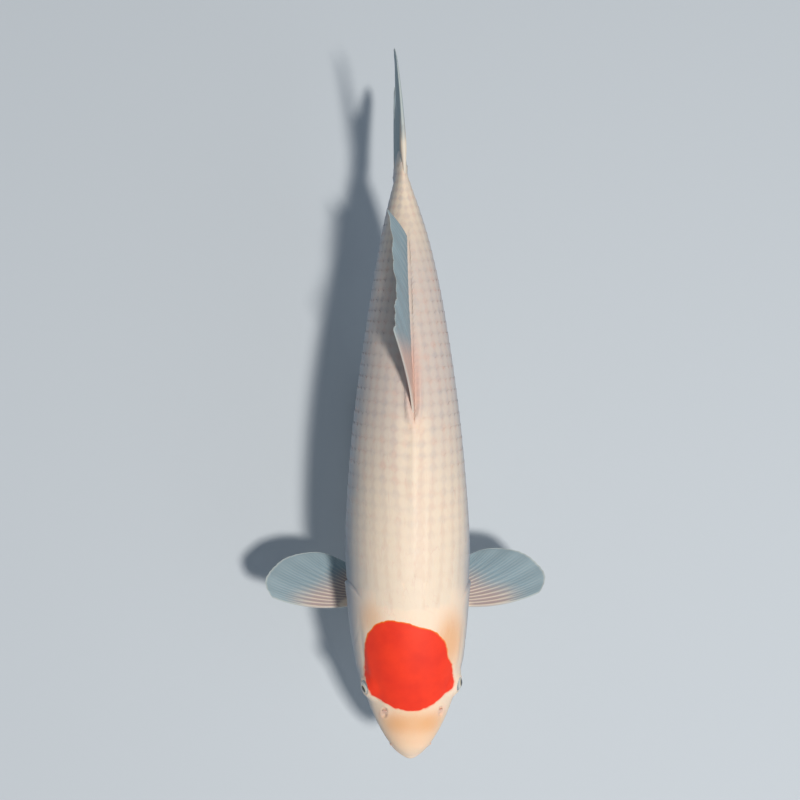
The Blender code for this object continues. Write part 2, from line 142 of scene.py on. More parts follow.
@dataclass
class MeshParts:
    """Loose pieces of mesh that become one object, each with its faces, bake map and attributes."""

    points: list[Array] = field(default_factory=list)
    faces: list[Array] = field(default_factory=list)
    maps: list[Array] = field(default_factory=list)
    values: list[tuple[int, str, Array]] = field(default_factory=list)
    count: int = 0

    def add(self, points: Array, faces: list[Array], maps: list[Array], **values: Array) -> None:
        """Adds one piece.

        Args:
            points: Its points in metres, one row each.
            faces: Arrays of point numbers, one row a face, each array with its own number of corners.
            maps: For each of those arrays, the place of every corner on the bake map.
            values: Vector attributes by name, one row a point.
        """
        self.points.append(points)
        self.faces += [part + self.count for part in faces]
        self.maps += maps
        self.values += [(self.count, name, rows) for name, rows in values.items()]
        self.count += len(points)

    def build(self, name: str, sharp: float | None = None) -> bpy.types.Object:
        """Makes the object, at the origin, with its faces pointing out.

        Args:
            name: The piece's name.
            sharp: The angle in degrees past which an edge is left sharp, or None for none.

        Returns:
            The object, linked to the scene.
        """
        mesh = bpy.data.meshes.new(name)
        corners = np.concatenate([part.reshape(-1) for part in self.faces])
        sizes = np.concatenate([np.full(len(part), part.shape[1]) for part in self.faces])
        mesh.vertices.add(self.count)
        mesh.vertices.foreach_set("co", np.concatenate(self.points).astype(np.float32).reshape(-1))
        mesh.loops.add(len(corners))
        mesh.loops.foreach_set("vertex_index", corners.astype(np.int32))
        mesh.polygons.add(len(sizes))
        mesh.polygons.foreach_set("loop_start", (np.cumsum(sizes) - sizes).astype(np.int32))
        mesh.uv_layers.new(name=BAKE_MAP)
        places = np.concatenate([part.reshape(-1, 2) for part in self.maps])
        mesh.uv_layers[BAKE_MAP].data.foreach_set("uv", places.astype(np.float32).reshape(-1))
        for key in sorted({key for _, key, _ in self.values}):
            whole = np.zeros((self.count, 3), np.float32)
            for start, name_, rows in self.values:
                if name_ == key:
                    whole[start : start + len(rows)] = rows
            layer = mesh.attributes.new(key, "FLOAT_VECTOR", "POINT")
            layer.data.foreach_set("vector", whole.reshape(-1))
        mesh.update(calc_edges=True)
        mesh.validate()
        work = bmesh.new()
        work.from_mesh(mesh)
        bmesh.ops.recalc_face_normals(work, faces=work.faces)
        work.to_mesh(mesh)
        work.free()
        mesh.shade_smooth()
        if sharp is not None:
            mesh.set_sharp_from_angle(angle=math.radians(sharp))
        made = bpy.data.objects.new(name, mesh)
        bpy.context.scene.collection.objects.link(made)
        return made


def grid_faces(rows: int, columns: int, closed: bool = False) -> Array:
    """The four corners of every face of a grid whose points are numbered row by row.

    Args:
        rows: Points along the first way.
        columns: Points along the second way.
        closed: Whether the last column joins the first.

    Returns:
        One row of four point numbers for each face.
    """
    i, j = np.meshgrid(np.arange(rows - 1), np.arange(columns if closed else columns - 1), indexing="ij")
    k = (j + 1) % columns
    corners = [i * columns + j, i * columns + k, (i + 1) * columns + k, (i + 1) * columns + j]
    return np.stack(corners, -1).reshape(-1, 4)


def rim_faces(rows: int, columns: int) -> Array:
    """The faces that join the edge of such a grid to a copy of it numbered on from its last point.

    Args:
        rows: Points along the first way.
        columns: Points along the second way.

    Returns:
        One row of four point numbers for each face: two on the grid in order, then the two below them.
    """
    number = np.arange(rows * columns).reshape(rows, columns)
    loop = np.concatenate([number[0, :-1], number[:-1, -1], number[-1, :0:-1], number[:0:-1, 0]])
    after = np.roll(loop, -1)
    return np.stack([loop, after, after + rows * columns, loop + rows * columns], -1)


def fan_faces(start: int, pole: int, count: int) -> Array:
    """The triangles from a ring of that many points, numbered on from start, to its pole."""
    now = np.arange(count)
    return np.stack([start + now, start + (now + 1) % count, np.full(count, pole)], -1)


# The shape of the body.


@dataclass
class BodyShape:
    """The plain form of the body, section by section, as in the solids.

    Each section gives its distance from the snout, half width, back, belly and widest level. The axis
    bends a little to the fish's right. The gill arc is the oval, seen from the side, that the head
    lies in, and the plate is the oval of the gill cover.
    """

    sections: tuple = (
        (0.0, 6.8, -4.5, -20.0, -12.0),
        (13.0, 17.2, 6.0, -31.0, -12.0),
        (32.0, 27.8, 19.5, -39.5, -9.0),
        (55.0, 36.4, 32.5, -47.0, -6.0),
        (86.0, 43.3, 45.5, -55.0, -3.0),
        (118.0, 46.9, 55.5, -61.0, -1.0),
        (160.0, 48.8, 64.0, -66.0, 1.0),
        (205.0, 46.7, 69.0, -68.5, 3.0),
        (250.0, 42.9, 69.0, -67.5, 4.0),
        (300.0, 36.9, 62.0, -60.5, 4.0),
        (350.0, 29.6, 50.5, -48.0, 3.0),
        (395.0, 21.6, 38.0, -35.0, 2.0),
        (430.0, 13.4, 28.5, -27.0, 1.0),
        (455.0, 5.8, 26.5, -26.5, 0.0),
    )
    axis_bend: tuple = (
        (0.0, 2.0), (45.0, 1.2), (110.0, -0.9), (160.0, -1.7), (215.0, -2.5),
        (350.0, -3.0), (400.0, -4.1), (455.0, -7.0), (550.0, -11.6),
    )
    back_squareness: float = 2.15
    belly_squareness: float = 2.05
    snout_rounding: float = 8.5
    snout_level: float = -12.0
    tail_wedge: float = 28.0
    gill_centre: tuple = (55.0, -3.0)
    gill_radii: tuple = (80.0, 63.0)
    plate_centre: tuple = (113.0, -9.0)
    plate_radii: tuple = (28.0, 38.0)

    def __post_init__(self) -> None:
        """Fits the curves and tabulates how the girth runs round each section."""
        rows = np.array(self.sections)
        self.curves = [SmoothCurve(rows[:, 0], rows[:, k]) for k in range(1, 5)]
        self.axis = SmoothCurve(*zip(*self.axis_bend))
        self.table_along = np.linspace(2.0, BODY_LENGTH + 8.0, 180)
        self.table_share = np.linspace(0.0, 1.0, 61)
        self.girths, self.angles = {}, {}
        turn = np.linspace(0.0, math.pi / 2, 241)
        for way in (1, -1):
            along = np.repeat(self.table_along[:, None], len(turn), 1)
            out, height = self.outline(along, way * turn[None, :])
            step = np.hypot(np.diff(out, axis=1), np.diff(height, axis=1))
            run = np.concatenate([np.zeros((len(along), 1)), np.cumsum(step, axis=1)], axis=1)
            self.girths[way] = run[:, -1]
            self.angles[way] = np.array([np.interp(self.table_share, row / row[-1], turn) for row in run])

    def section(self, along: Array) -> tuple[Array, Array, Array, Array]:
        """Half width, back, belly and widest level, rounded off at the snout and past the tail root.

        Args:
            along: Distances from the snout.

        Returns:
            The half widths, then the heights of the back, the belly and the widest line.
        """
        short = np.clip(1 - along / self.snout_rounding, 0.0, 1.0)
        over = np.clip((along - BODY_LENGTH) / self.tail_wedge, 0.0, 1.0)
        width, back, belly, level = (curve(np.minimum(along, BODY_LENGTH)) for curve in self.curves)
        share = np.sqrt(1 - short**2)
        back, belly, level = (
            self.snout_level + (f - self.snout_level) * share for f in (back, belly, level)
        )
        tall = np.sqrt(1 - over**4)
        back, belly = (level + (f - level) * tall for f in (back, belly))
        return width * share * (1 - over**2) ** 1.2, back, belly, level

    def outline(self, along: Array, angle: Array) -> tuple[Array, Array]:
        """Out and height of the plain surface at an angle: 0 on the left side, a quarter turn on the back.

        Args:
            along: Distances from the snout.
            angle: Turns round the section, in radians.

        Returns:
            The distances out from the middle plane, and the heights.
        """
        width, back, belly, level = self.section(along)
        up = np.sin(angle) >= 0
        reach = np.where(up, back - level, level - belly)
        power = np.where(up, 2 / self.back_squareness, 2 / self.belly_squareness)
        c, s = np.cos(angle), np.sin(angle)
        return width * np.sign(c) * np.abs(c) ** power, level + reach * np.sign(s) * np.abs(s) ** power

    def place(self, out: Array, along: Array, height: Array) -> Array:
        """Points in metres beside the bent axis.

        Args:
            out: Distances from the middle plane, to the fish's left.
            along: Distances from the snout.
            height: Heights above the axis.

        Returns:
            The points, with x, y and z last.
        """
        bend = self.axis(along + 0.5) - self.axis(along - 0.5)
        parts = (self.axis(along) + out, along - out * bend - TOTAL_LENGTH / 2, height + AXIS_HEIGHT)
        return np.stack(np.broadcast_arrays(*parts), -1) * MM

    def point(self, along: Array, angle: Array) -> Array:
        """Points of the plain surface, in metres."""
        out, height = self.outline(along, angle)
        return self.place(out, along, height)

    def normal(self, along: Array, angle: Array) -> Array:
        """The way out of the plain surface, as unit vectors.

        Args:
            along: Distances from the snout.
            angle: Turns round the section, in radians.

        Returns:
            The ways, with x, y and z last.
        """
        near, turn = 0.05, 0.01
        before = np.maximum(along - near, 0.0)
        run = self.point(along + near, angle) - self.point(before, angle)
        round_ = self.point(along, angle + turn) - self.point(along, angle - turn)
        way = np.cross(run, round_)
        size = np.linalg.norm(way, axis=-1, keepdims=True)
        pole = (size < 1e-12) | (np.asarray(along)[..., None] < 0.02)
        return np.where(pole, -BACKWARD, way / np.maximum(size, 1e-12))

    def girth(self, along: Array, way: int) -> Array:
        """The distance round the skin from the widest line up to the back (1) or down to the belly (-1)."""
        return np.interp(along, self.table_along, self.girths[way])

    def angle_at(self, along: Array, girth: Array) -> Array:
        """The angle that lies that far up (or down, if negative) round the skin from the widest line.

        Args:
            along: Distances from the snout.
            girth: Distances round the skin. Past the middle line they go on down the far side.

        Returns:
            The angles, on the fish's left side unless they pass the middle.
        """
        result = np.zeros(np.broadcast(along, girth).shape)
        row = np.interp(along, self.table_along, np.arange(len(self.table_along)))
        low = np.clip(row.astype(int), 0, len(self.table_along) - 2)
        part = row - low
        for way in (1, -1):
            share = np.abs(girth) / self.girth(along, way)
            folded = np.where(share > 1, 2 - share, share)
            column = np.clip(folded, 0, 1) * (len(self.table_share) - 1)
            left = np.clip(column.astype(int), 0, len(self.table_share) - 2)
            rest = column - left
            table = self.angles[way]
            first = table[low, left] * (1 - rest) + table[low, left + 1] * rest
            second = table[low + 1, left] * (1 - rest) + table[low + 1, left + 1] * rest
            found = first * (1 - part) + second * part
            found = np.where(share > 1, math.pi - found, found) * way
            result = np.where(np.sign(girth) * way >= 0, found, result)
        return result

    def oval_distance(self, along: Array, height: Array, centre: tuple, radii: tuple) -> Array:
        """How far outside an oval, seen from the side, a point lies: negative inside it.

        Args:
            along: Distances from the snout.
            height: Heights above the axis.
            centre: The middle of the oval.
            radii: Its half length and half height.

        Returns:
            The distances, in millimetres.
        """
        x, y = (along - centre[0]) / radii[0], (height - centre[1]) / radii[1]
        ring = np.maximum(np.hypot(x, y), 1e-6)
        return (ring - 1) * ring / np.hypot(x / radii[0], y / radii[1])

    def behind_gills(self, along: Array, height: Array) -> Array:
        """How far behind the edge of the head a point lies: negative on the head."""
        return self.oval_distance(along, height, self.gill_centre, self.gill_radii)


# The skin.


@dataclass
class Skin:
    """The one skin of the whole body, sculpted over its plain form, with its barbels and nose flaps."""

    shape: BodyShape
    sides: int = 284
    side_crowding: float = 0.33
    ring_steps: tuple = (
        (0.0, 0.55), (30.0, 0.6), (60.0, 0.68), (75.0, 0.95), (110.0, 0.95), (115.0, 0.42), (121.0, 0.42),
        (128.0, 1.3), (150.0, 3.0), (480.0, 3.2),
    )
    gill_ring: float = 118.0
    gill_ring_reach: float = 58.0
    mouth_corner: float = 19.0
    mouth_levels: tuple = (-15.5, -25.0)
    eye: tuple = (56.0, 31.0, 10.0, 7.5)
    socket_up: float = 19.0
    socket_forward: float = 13.0
    eye_opening: float = 5.35
    nostril: tuple = (35.0, 21.5)
    dorsal_base: tuple = (250.0, 395.0)
    map_width: float = 0.93

    def __post_init__(self) -> None:
        """Sets out the rings so that they stand evenly on the surface and close together on the head."""
        along = np.concatenate([np.linspace(0, 1, 400) ** 2 * 10, np.linspace(10, self.end, 3000)[1:]])
        runs = []
        for angle in (0.0, math.pi / 2, -math.pi / 2):
            path = self.shape.point(along, np.full_like(along, angle)) / MM
            runs.append(np.concatenate([[0], np.cumsum(np.linalg.norm(np.diff(path, axis=0), axis=1))]))
        run = np.mean(runs, axis=0)
        wanted = read(self.ring_steps, along)
        count = np.concatenate([[0], np.cumsum(np.diff(run) / wanted[1:])])
        rings = int(count[-1])
        self.rings = np.interp(np.linspace(0, count[-1], rings + 1), count, along)
        # On the bake map the head takes more room than its length, as it holds the finest shapes.
        weight = np.concatenate([[0], np.cumsum(np.diff(run) * (0.6 + 0.4 / wanted[1:]))])
        self.map_along, self.map_place = along, weight / weight[-1]

    @property
    def end(self) -> float:
        """How far from the snout the skin ends, over the root of the tail fin."""
        return BODY_LENGTH + self.shape.tail_wedge

    def bent_rings(self, rings: Array, angle: Array) -> Array:
        """Bends the rings near the gill opening so that one of them follows the edge of the cover.

        Args:
            rings: Where the rings stand before they are bent.
            angle: The angles of the points round a ring.

        Returns:
            Distances from the snout, a row for each ring.
        """
        (middle, level), (long, tall) = self.shape.gill_centre, self.shape.gill_radii
        edge = np.full_like(angle, self.gill_ring)
        for _ in range(12):
            _, height = self.shape.outline(edge, angle)
            share = np.clip((height - level) / tall, -0.93, 0.86)
            edge = 0.5 * edge + 0.5 * (middle + long * np.sqrt(1 - share**2))
        near = 1 - np.abs(rings - self.gill_ring) / self.gill_ring_reach
        return rings[:, None] + (edge - self.gill_ring)[None, :] * ramp(near, 0.0, 1.0)[:, None]

    def unwrap(self, along: Array, angle: Array) -> Array:
        """Places on the bake map, from a seam along the belly.

        Args:
            along: Distances from the snout.
            angle: Turns round the section, in radians.

        Returns:
            The two places on the map, each from 0 to 1.
        """
        turn = np.mod(angle / (2 * math.pi) + 0.25, 1.0)
        place = np.interp(along, self.map_along, self.map_place)
        return np.stack([turn * self.map_width + 0.005, place * 0.99 + 0.005], -1)

    def mouth_level(self, along: Array) -> Array:
        """Height of the mouth slit."""
        front, corner = self.mouth_levels
        return front + (corner - front) * along / self.mouth_corner

    def mouth_relief(self, out: Array, along: Array, height: Array) -> Array:
        """The lips, the slit between them, and the creases that set them off from snout and chin.

        Args:
            out: Distances from the middle plane, to the fish's left.
            along: Distances from the snout.
            height: Heights above the axis.

        Returns:
            How far the skin stands out there for their sake.
        """
        over = height - self.mouth_level(along)
        back = np.clip(along / self.mouth_corner, 0, 1)
        near = ramp(along, self.mouth_corner + 1.5, self.mouth_corner - 3.5)
        upper = (1.15 - 0.6 * back) * bump(over - 2.7 + 0.9 * back, 2.2)
        lower = (1.45 - 0.9 * back) * bump(over + 2.4 - 0.7 * back, 1.9)
        relief = near * (upper + lower)
        relief -= near * 1.7 * bump(over, 0.4)
        relief -= 0.8 * ramp(over, 0.5, -0.9) * ramp(along, 17.0, 3.0)
        crease = ramp(along, self.mouth_corner + 2.0, self.mouth_corner - 9.0)
        relief -= crease * (0.6 * bump(over - 6.4 + 1.8 * back, 1.0) + 0.6 * bump(over + 5.8, 1.3))
        # The fold of the upper jaw drops behind the corner of the mouth.
        fold = along - self.mouth_corner - 1.5 - 0.25 * (height - self.mouth_levels[1])
        relief += 0.5 * bump(fold, 2.6) * bump(height - self.mouth_levels[1] - 1.0, 5.5)
        relief -= 0.6 * bump(fold - 4.0, 1.0) * bump(height - self.mouth_levels[1] + 1.0, 7.0)
        # The line of the lower jaw runs back from the corner and down to the throat.
        jaw = height - self.mouth_levels[1] + 0.72 * (along - self.mouth_corner)
        return relief - 0.55 * bump(jaw, 1.3) * ramp(along, 22.0, 26.0) * ramp(along, 50.0, 40.0)

    def nose_relief(self, out: Array, along: Array, height: Array) -> Array:
        """Two nasal pits a side, with a raised rim, either side of the flap.

        Args:
            out: Distances from the middle plane, to the fish's left.
            along: Distances from the snout.
            height: Heights above the axis.

        Returns:
            How far the skin stands out there for their sake.
        """
        back = along - self.nostril[0]
        across = (np.abs(out) - self.nostril[1]) / 0.77
        top = ramp(height, 0.0, 5.0)
        front = np.hypot((back + 2.3) / 1.25, (across + 0.3) / 1.6)
        rear = np.hypot((back - 2.1) / 1.5, (across - 0.2) / 2.2)
        rim = np.hypot(back / 4.6, across / 3.6)
        relief = 0.3 * bump(rim - 1.0, 0.3) - 1.15 * bump(front, 1.0) - 1.2 * bump(rear, 1.0)
        return relief * top

    def head_relief(self, out: Array, along: Array, height: Array) -> Array:
        """Gill covers and their openings, cheeks, the bony lines under the skin, and the throat's folds.

        Args:
            out: Distances from the middle plane, to the fish's left.
            along: Distances from the snout.
            height: Heights above the axis.

        Returns:
            How far the skin stands out there for their sake.
        """
        side = np.abs(out)
        edge = self.shape.behind_gills(along, height)
        opening = ramp(height, 37.0, 20.0) * ramp(side, 3.0, 12.0)
        relief = opening * 0.6 * ramp(edge, -13.0, -1.6) * ramp(edge, 0.5, -0.8)
        relief -= opening * 1.5 * bump(edge - 1.2, 1.0)
        relief -= opening * 0.3 * bump(edge + 4.4, 1.1)
        plate = self.shape.oval_distance(along, height, self.shape.plate_centre, self.shape.plate_radii)
        front = ramp(along, 118.0, 104.0) * ramp(side, 22.0, 28.0) * (0.35 + 0.65 * ramp(height, 24.0, 6.0))
        relief -= front * 0.38 * bump(plate, 1.1)
        relief += front * 0.16 * bump(plate + 2.8, 2.2)
        relief += front * 0.16 * bump(plate - 3.6, 2.8)
        inside = ramp(plate, -2.0, -9.0) * ramp(edge, -2.0, -8.0) * ramp(height, -34.0, -20.0)
        lines = np.arctan2(height - 16.0, along - 86.0)
        far = np.hypot(height - 16.0, along - 86.0)
        relief += inside * 0.045 * np.cos(lines * 31.0 + 0.9 * np.sin(far / 6.0)) * ramp(far, 4.0, 14.0)
        lower = height + 33.0 + 0.28 * (along - 113.0)
        seam = 0.4 * bump(lower, 1.1) * ramp(along, 88.0, 96.0)
        relief -= seam * ramp(edge, -1.0, -4.0) * ramp(side, 20.0, 27.0)
        x, y = along - self.eye[0], height - self.eye[2]
        around = np.hypot(x, y * 1.06)
        below = ramp(y, 2.0, -7.0) * ramp(x, -12.0, -3.0)
        relief -= 0.32 * below * bump(around - 13.5, 1.5)
        relief += 0.4 * below * bump(around - 20.0, 5.0)
        # A brow runs back over the eye to the top of the gill cover.
        brow = height - 19.0 - 0.3 * x
        relief += 0.55 * bump(brow, 3.2) * ramp(x, -9.0, 2.0) * ramp(x, 52.0, 30.0)
        relief -= 0.3 * bump(brow + 5.5, 2.2) * ramp(x, 8.0, 16.0) * ramp(x, 50.0, 36.0)
        # Pores of the sense canals: an arc under the eye, and two lines in front of the gill cover.
        turn = np.arctan2(y, x)
        pores = ramp(np.cos(turn * 19.0), 0.45, 1.0) * bump(around - 17.0, 0.75) * ramp(y, 0.0, -4.0)
        across = np.arctan2(height - self.shape.plate_centre[1], along - self.shape.plate_centre[0])
        pores = pores + front * ramp(np.cos(across * 34.0), 0.45, 1.0) * bump(plate - 4.4, 0.8)
        pores = pores * ramp(side, 16.0, 22.0)
        jaw_line = height - self.mouth_levels[1] + 8.0 + 0.42 * (along - self.mouth_corner)
        jaw_row = ramp(np.cos(along * 1.1), 0.45, 1.0) * bump(jaw_line, 0.8)
        pores = pores + jaw_row * ramp(along, 24.0, 30.0) * ramp(along, 80.0, 72.0)
        relief -= 0.32 * pores
        # Folds of the gill membrane under the head.
        throat = ramp(height, -40.0, -48.0) * ramp(along, 55.0, 66.0) * ramp(edge, -1.0, -3.5)
        relief -= throat * 0.3 * (bump(edge + 8.5, 1.2) + bump(edge + 13.0, 1.2) + bump(edge + 17.5, 1.2))
        gular = ramp(height, -34.0, -40.0) * ramp(along, 30.0, 40.0) * ramp(edge, -2.0, -8.0)
        return relief - gular * 0.8 * bump(side, 2.2)

    def back_relief(self, out: Array, along: Array, height: Array) -> Array:
        """The smooth ridge before the dorsal fin and the two folds of flesh that hold its first rays.

        Args:
            out: Distances from the middle plane, to the fish's left.
            along: Distances from the snout.
            height: Heights above the axis.

        Returns:
            How far the skin stands out there for their sake.
        """
        top = ramp(height, 20.0, 35.0)
        start, _ = self.dorsal_base
        narrow = 5.2 - 3.6 * ramp(along, start - 70.0, start + 4.0)
        ridge = 1.3 * bump(out / narrow, 1.0) * ramp(along, start - 120.0, start - 40.0)
        ridge = ridge * ramp(along, start + 7.0, start)
        spread = 1.6 + 3.0 * ramp(along, start - 8.0, start + 12.0)
        folds = 1.9 * bump(np.abs(out) - spread, 2.2) * ramp(along, start - 14.0, start + 6.0)
        folds *= ramp(along, start + 60.0, start + 18.0)
        return top * (ridge + folds)

    def root_relief(self, out: Array, along: Array, height: Array) -> Array:
        """The fleshy roots of the paired fins and anal fin, the vent, and the lateral line.

        Args:
            out: Distances from the middle plane, to the fish's left.
            along: Distances from the snout.
            height: Heights above the axis.

        Returns:
            How far the skin stands out there for their sake.
        """
        side = np.abs(out)
        pectoral = bump(np.hypot((along - 129.0) / 15.0, (height + 43.0) / 8.5), 1.0)
        relief = 2.3 * pectoral * ramp(side, 20.0, 28.0)
        low = ramp(height, -30.0, -45.0)
        relief += 1.7 * low * bump(np.hypot((along - 248.0) / 11.0, (side - 11.5) / 5.5), 1.0)
        under = ramp(height, -20.0, -30.0)
        anal = ramp(along, 334.0, 344.0) * ramp(along, 396.0, 380.0)
        relief += 1.3 * under * anal * bump(out, 4.0)
        relief += 1.6 * under * bump(np.hypot((along - 334.0) / 4.0, out / 3.5), 1.0)
        _, _, _, level = self.shape.section(along)
        edge = self.shape.behind_gills(along, height)
        return relief - 0.22 * ramp(edge, 2.0, 10.0) * bump(height - level, 1.4)

    def scaled(self, along: Array, height: Array) -> Array:
        """How far scales cover the skin there: 0 on the head and 1 on the body.

        Args:
            along: Distances from the snout.
            height: Heights above the axis.

        Returns:
            The share of the coat that is there.
        """
        soft = 18.0 * ramp(height, 26.0, 46.0)
        behind = ramp(self.shape.behind_gills(along, height) / (3.5 + soft), 0.0, 1.0)
        return behind * ramp(along, BODY_LENGTH + 10.0, BODY_LENGTH + 1.0)

    def relief(self, out: Array, along: Array, height: Array) -> Array:
        """How far the skin stands out from the plain form, in millimetres.

        Args:
            out: Distances from the middle plane, to the fish's left.
            along: Distances from the snout.
            height: Heights above the axis.

        Returns:
            The heights of all the forms together, less the depth of the coat.
        """
        forms = (self.mouth_relief, self.nose_relief, self.head_relief, self.back_relief, self.root_relief)
        total = sum(form(out, along, height) for form in forms)
        return total - COAT_DEPTH * self.scaled(along, height)

    def eye_place(self, side: int, up: float, forward: float) -> tuple[Array, Array]:
        """The centre of an eyeball in metres, and a way out of it turned up and forward by those degrees.

        Args:
            side: 1 for the left eye and -1 for the right one.
            up: Degrees above level.
            forward: Degrees ahead of straight out.

        Returns:
            The centre, and the way as a unit vector.
        """
        along, out, height, _ = self.eye
        up, forward = math.radians(up), math.radians(forward)
        way = (side * math.cos(up) * math.cos(forward), -math.cos(up) * math.sin(forward), math.sin(up))
        return self.shape.place(side * out, np.array(along), height), np.array(way)

    def around_eyes(self, points: Array) -> Array:
        """Draws the skin up to the rim of each eye and down behind the eyeball inside it.

        Args:
            points: Points of the skin, in metres.

        Returns:
            The points, moved where an eye is near.
        """
        reach = 15.0
        for side in SIDES.values():
            centre, way = self.eye_place(side, self.socket_up, self.socket_forward)
            offset = (points - centre) / MM
            deep = offset @ way
            apart = np.linalg.norm(offset - deep[..., None] * way, axis=-1)
            near = (deep > -9.0) & (apart < reach)
            rim = math.sqrt(self.eye[3] ** 2 - self.eye_opening**2) + 0.42
            pull = ramp(apart, reach, self.eye_opening) ** 1.4
            target = deep + (rim - deep) * pull
            lid = 0.22 * bump(apart - self.eye_opening - 1.3, 0.9)
            target += lid - 0.25 * bump(apart - self.eye_opening - 3.0, 1.0)
            inside = np.maximum(self.eye_opening + 0.8 - apart, 0.0)
            target = np.maximum(target - 0.36 * inside**2, np.where(inside > 0, -4.0, -99.0))
            points = points + np.where(near, target - deep, 0.0)[..., None] * way * MM
        return points

    def surface(self, along: Array, angle: Array, lift: Array | float = 0.0) -> tuple[Array, Array]:
        """The sculpted skin.

        Args:
            along: Distances from the snout.
            angle: Angles round the axis.
            lift: Millimetres to stand off it.

        Returns:
            Its points in metres, and out, along and height of the plain form under them.
        """
        out, height = self.shape.outline(along, angle)
        stand = self.relief(out, along, height) + lift
        way = self.shape.normal(along, angle)
        points = self.shape.place(out, along, height) + way * stand[..., None] * MM
        return self.around_eyes(points), np.stack(np.broadcast_arrays(out, along, height), -1)

    def build(self) -> bpy.types.Object:
        """Makes the skin, its barbels and its nose flaps as one piece.

        Returns:
            The skin piece.
        """
        parts = MeshParts()
        turn = np.linspace(0, 1, self.sides + 1)[:-1]
        angle = 2 * math.pi * turn - math.pi / 2
        angle = angle - self.side_crowding * np.sin(2 * angle) / 2
        rings = self.rings[1:-1]
        along = self.bent_rings(rings, angle)
        angles = np.broadcast_to(angle, along.shape)
        points, form = self.surface(along, angles)
        count = len(rings) * self.sides
        ends, end_form = self.surface(np.array([self.rings[0], self.end]), np.array([0.0, 0.0]))
        points = np.concatenate([points.reshape(-1, 3), ends])
        form = np.concatenate([form.reshape(-1, 3), end_form])
        faces = grid_faces(len(rings), self.sides, closed=True)
        places = self.unwrap(along, angles).reshape(-1, 2)
        maps = places[faces]
        seam = faces[:, 1] < faces[:, 0]
        maps[seam, 1, 0] += self.map_width
        maps[seam, 2, 0] += self.map_width
        fans, fan_maps = [], []
        for start, pole, place in ((0, count, 0.0), (count - self.sides, count + 1, 1.0)):
            fan = fan_faces(start, pole, self.sides)
            map_ = np.concatenate([places[fan[:, :2]], np.zeros((self.sides, 1, 2))], axis=1)
            map_[-1, 1, 0] += self.map_width
            map_[:, 2, 0] = map_[:, :2, 0].mean(1)
            map_[:, 2, 1] = place
            fans.append(fan)
            fan_maps.append(map_)
        parts.add(points, [faces, *fans], [maps, *fan_maps], form=form)
        strip = Strip(0.945, 0.995)
        for side in SIDES.values():
            for barbel in BARBELS:
                barbel.add_to(parts, self, side, strip)
            self.add_nose_flap(parts, side, strip)
        return parts.build("koi_skin")

    def add_nose_flap(self, parts: MeshParts, side: int, strip: Strip) -> None:
        """The small leaf of skin that stands between the two nasal openings on one side.

        Args:
            parts: The piece to add it to.
            side: 1 for the left side and -1 for the right one.
            strip: Its place on the bake map.
        """
        rows, columns, width, tall = 7, 9, 4.4, 2.5
        v, u = np.meshgrid(np.linspace(0, 1, rows), np.linspace(-1, 1, columns), indexing="ij")
        along, out = self.nostril[0] - 0.4 + 0.9 * u**2, self.nostril[1] + u * width / 2 * 0.77
        along, out = np.broadcast_arrays(along, out)
        share = np.clip(out / self.shape.section(along)[0], 0, 1)
        angle = np.arccos(share ** (self.shape.back_squareness / 2))
        root, form = self.surface(along, np.where(side > 0, angle, math.pi - angle), -0.9)
        rise = tall * (1 - 0.55 * u**2) * v
        way = np.array([side * 0.45, 0.0, 0.85])
        lean = np.array([side * 0.25, 0.75, 0.1])
        middle = root + (way * rise[..., None] + lean * (rise**2 / 2.6)[..., None]) * MM
        thick = (0.42 - 0.22 * v) * MM
        shell(parts, middle, thick, form, strip.take(), paint=np.stack([v * 0 + 0.75, v, u * 0], -1))


@dataclass
class Strip:
    """A free strip of the bake map, given out in equal boxes from the bottom."""

    left: float
    right: float
    step: float = 0.12
    taken: int = 0

    def take(self) -> tuple[float, float, float, float]:
        """The next box, as left, bottom, width and height."""
        self.taken += 1
        return self.left, 0.005 + (self.taken - 1) * self.step, self.right - self.left, self.step * 0.9


def shell(
    parts: MeshParts, middle: Array, thick: Array, form: Array, box: tuple, paint: Array | None = None
) -> None:
    """Adds a closed thin sheet round a grid of points.

    Args:
        parts: The mesh to add to.
        middle: The grid of its middle surface, in metres.
        thick: The full thickness at each point, in metres.
        form: The place on the body's plain form that each point belongs to.
        box: Its box on the bake map: left, bottom, width and height. Each face takes half of it.
        paint: A vector attribute for the material, or None.
    """
    rows, columns = middle.shape[:2]
    along_rows, along_columns = np.gradient(middle, axis=0), np.gradient(middle, axis=1)
    way = np.cross(along_columns, along_rows)
    way /= np.maximum(np.linalg.norm(way, axis=-1, keepdims=True), 1e-12)
    half = np.broadcast_to(thick, middle.shape[:2])[..., None] / 2
    points = np.concatenate([(middle + way * half).reshape(-1, 3), (middle - way * half).reshape(-1, 3)])
    faces, rim = grid_faces(rows, columns), rim_faces(rows, columns)
    under = faces[:, ::-1] + rows * columns
    v, u = np.meshgrid(np.linspace(0, 1, rows), np.linspace(0, 1, columns), indexing="ij")
    left, bottom, width, height = box
    flat = np.stack([left + width * 0.47 * u, bottom + height * v], -1).reshape(-1, 2)
    far = flat + np.array([width * 0.53, 0.0])
    places = np.concatenate([flat, far])
    rim_map = flat[rim[:, (0, 1, 1, 0)]]
    rim_map[:, 2:] += np.array([width * 0.004, 0.0])
    values = {"form": np.concatenate([form.reshape(-1, 3)] * 2)}
    if paint is not None:
        values["paint"] = np.concatenate([paint.reshape(-1, 3)] * 2)
    parts.add(points, [faces, under, rim], [places[faces], places[under], rim_map], **values)


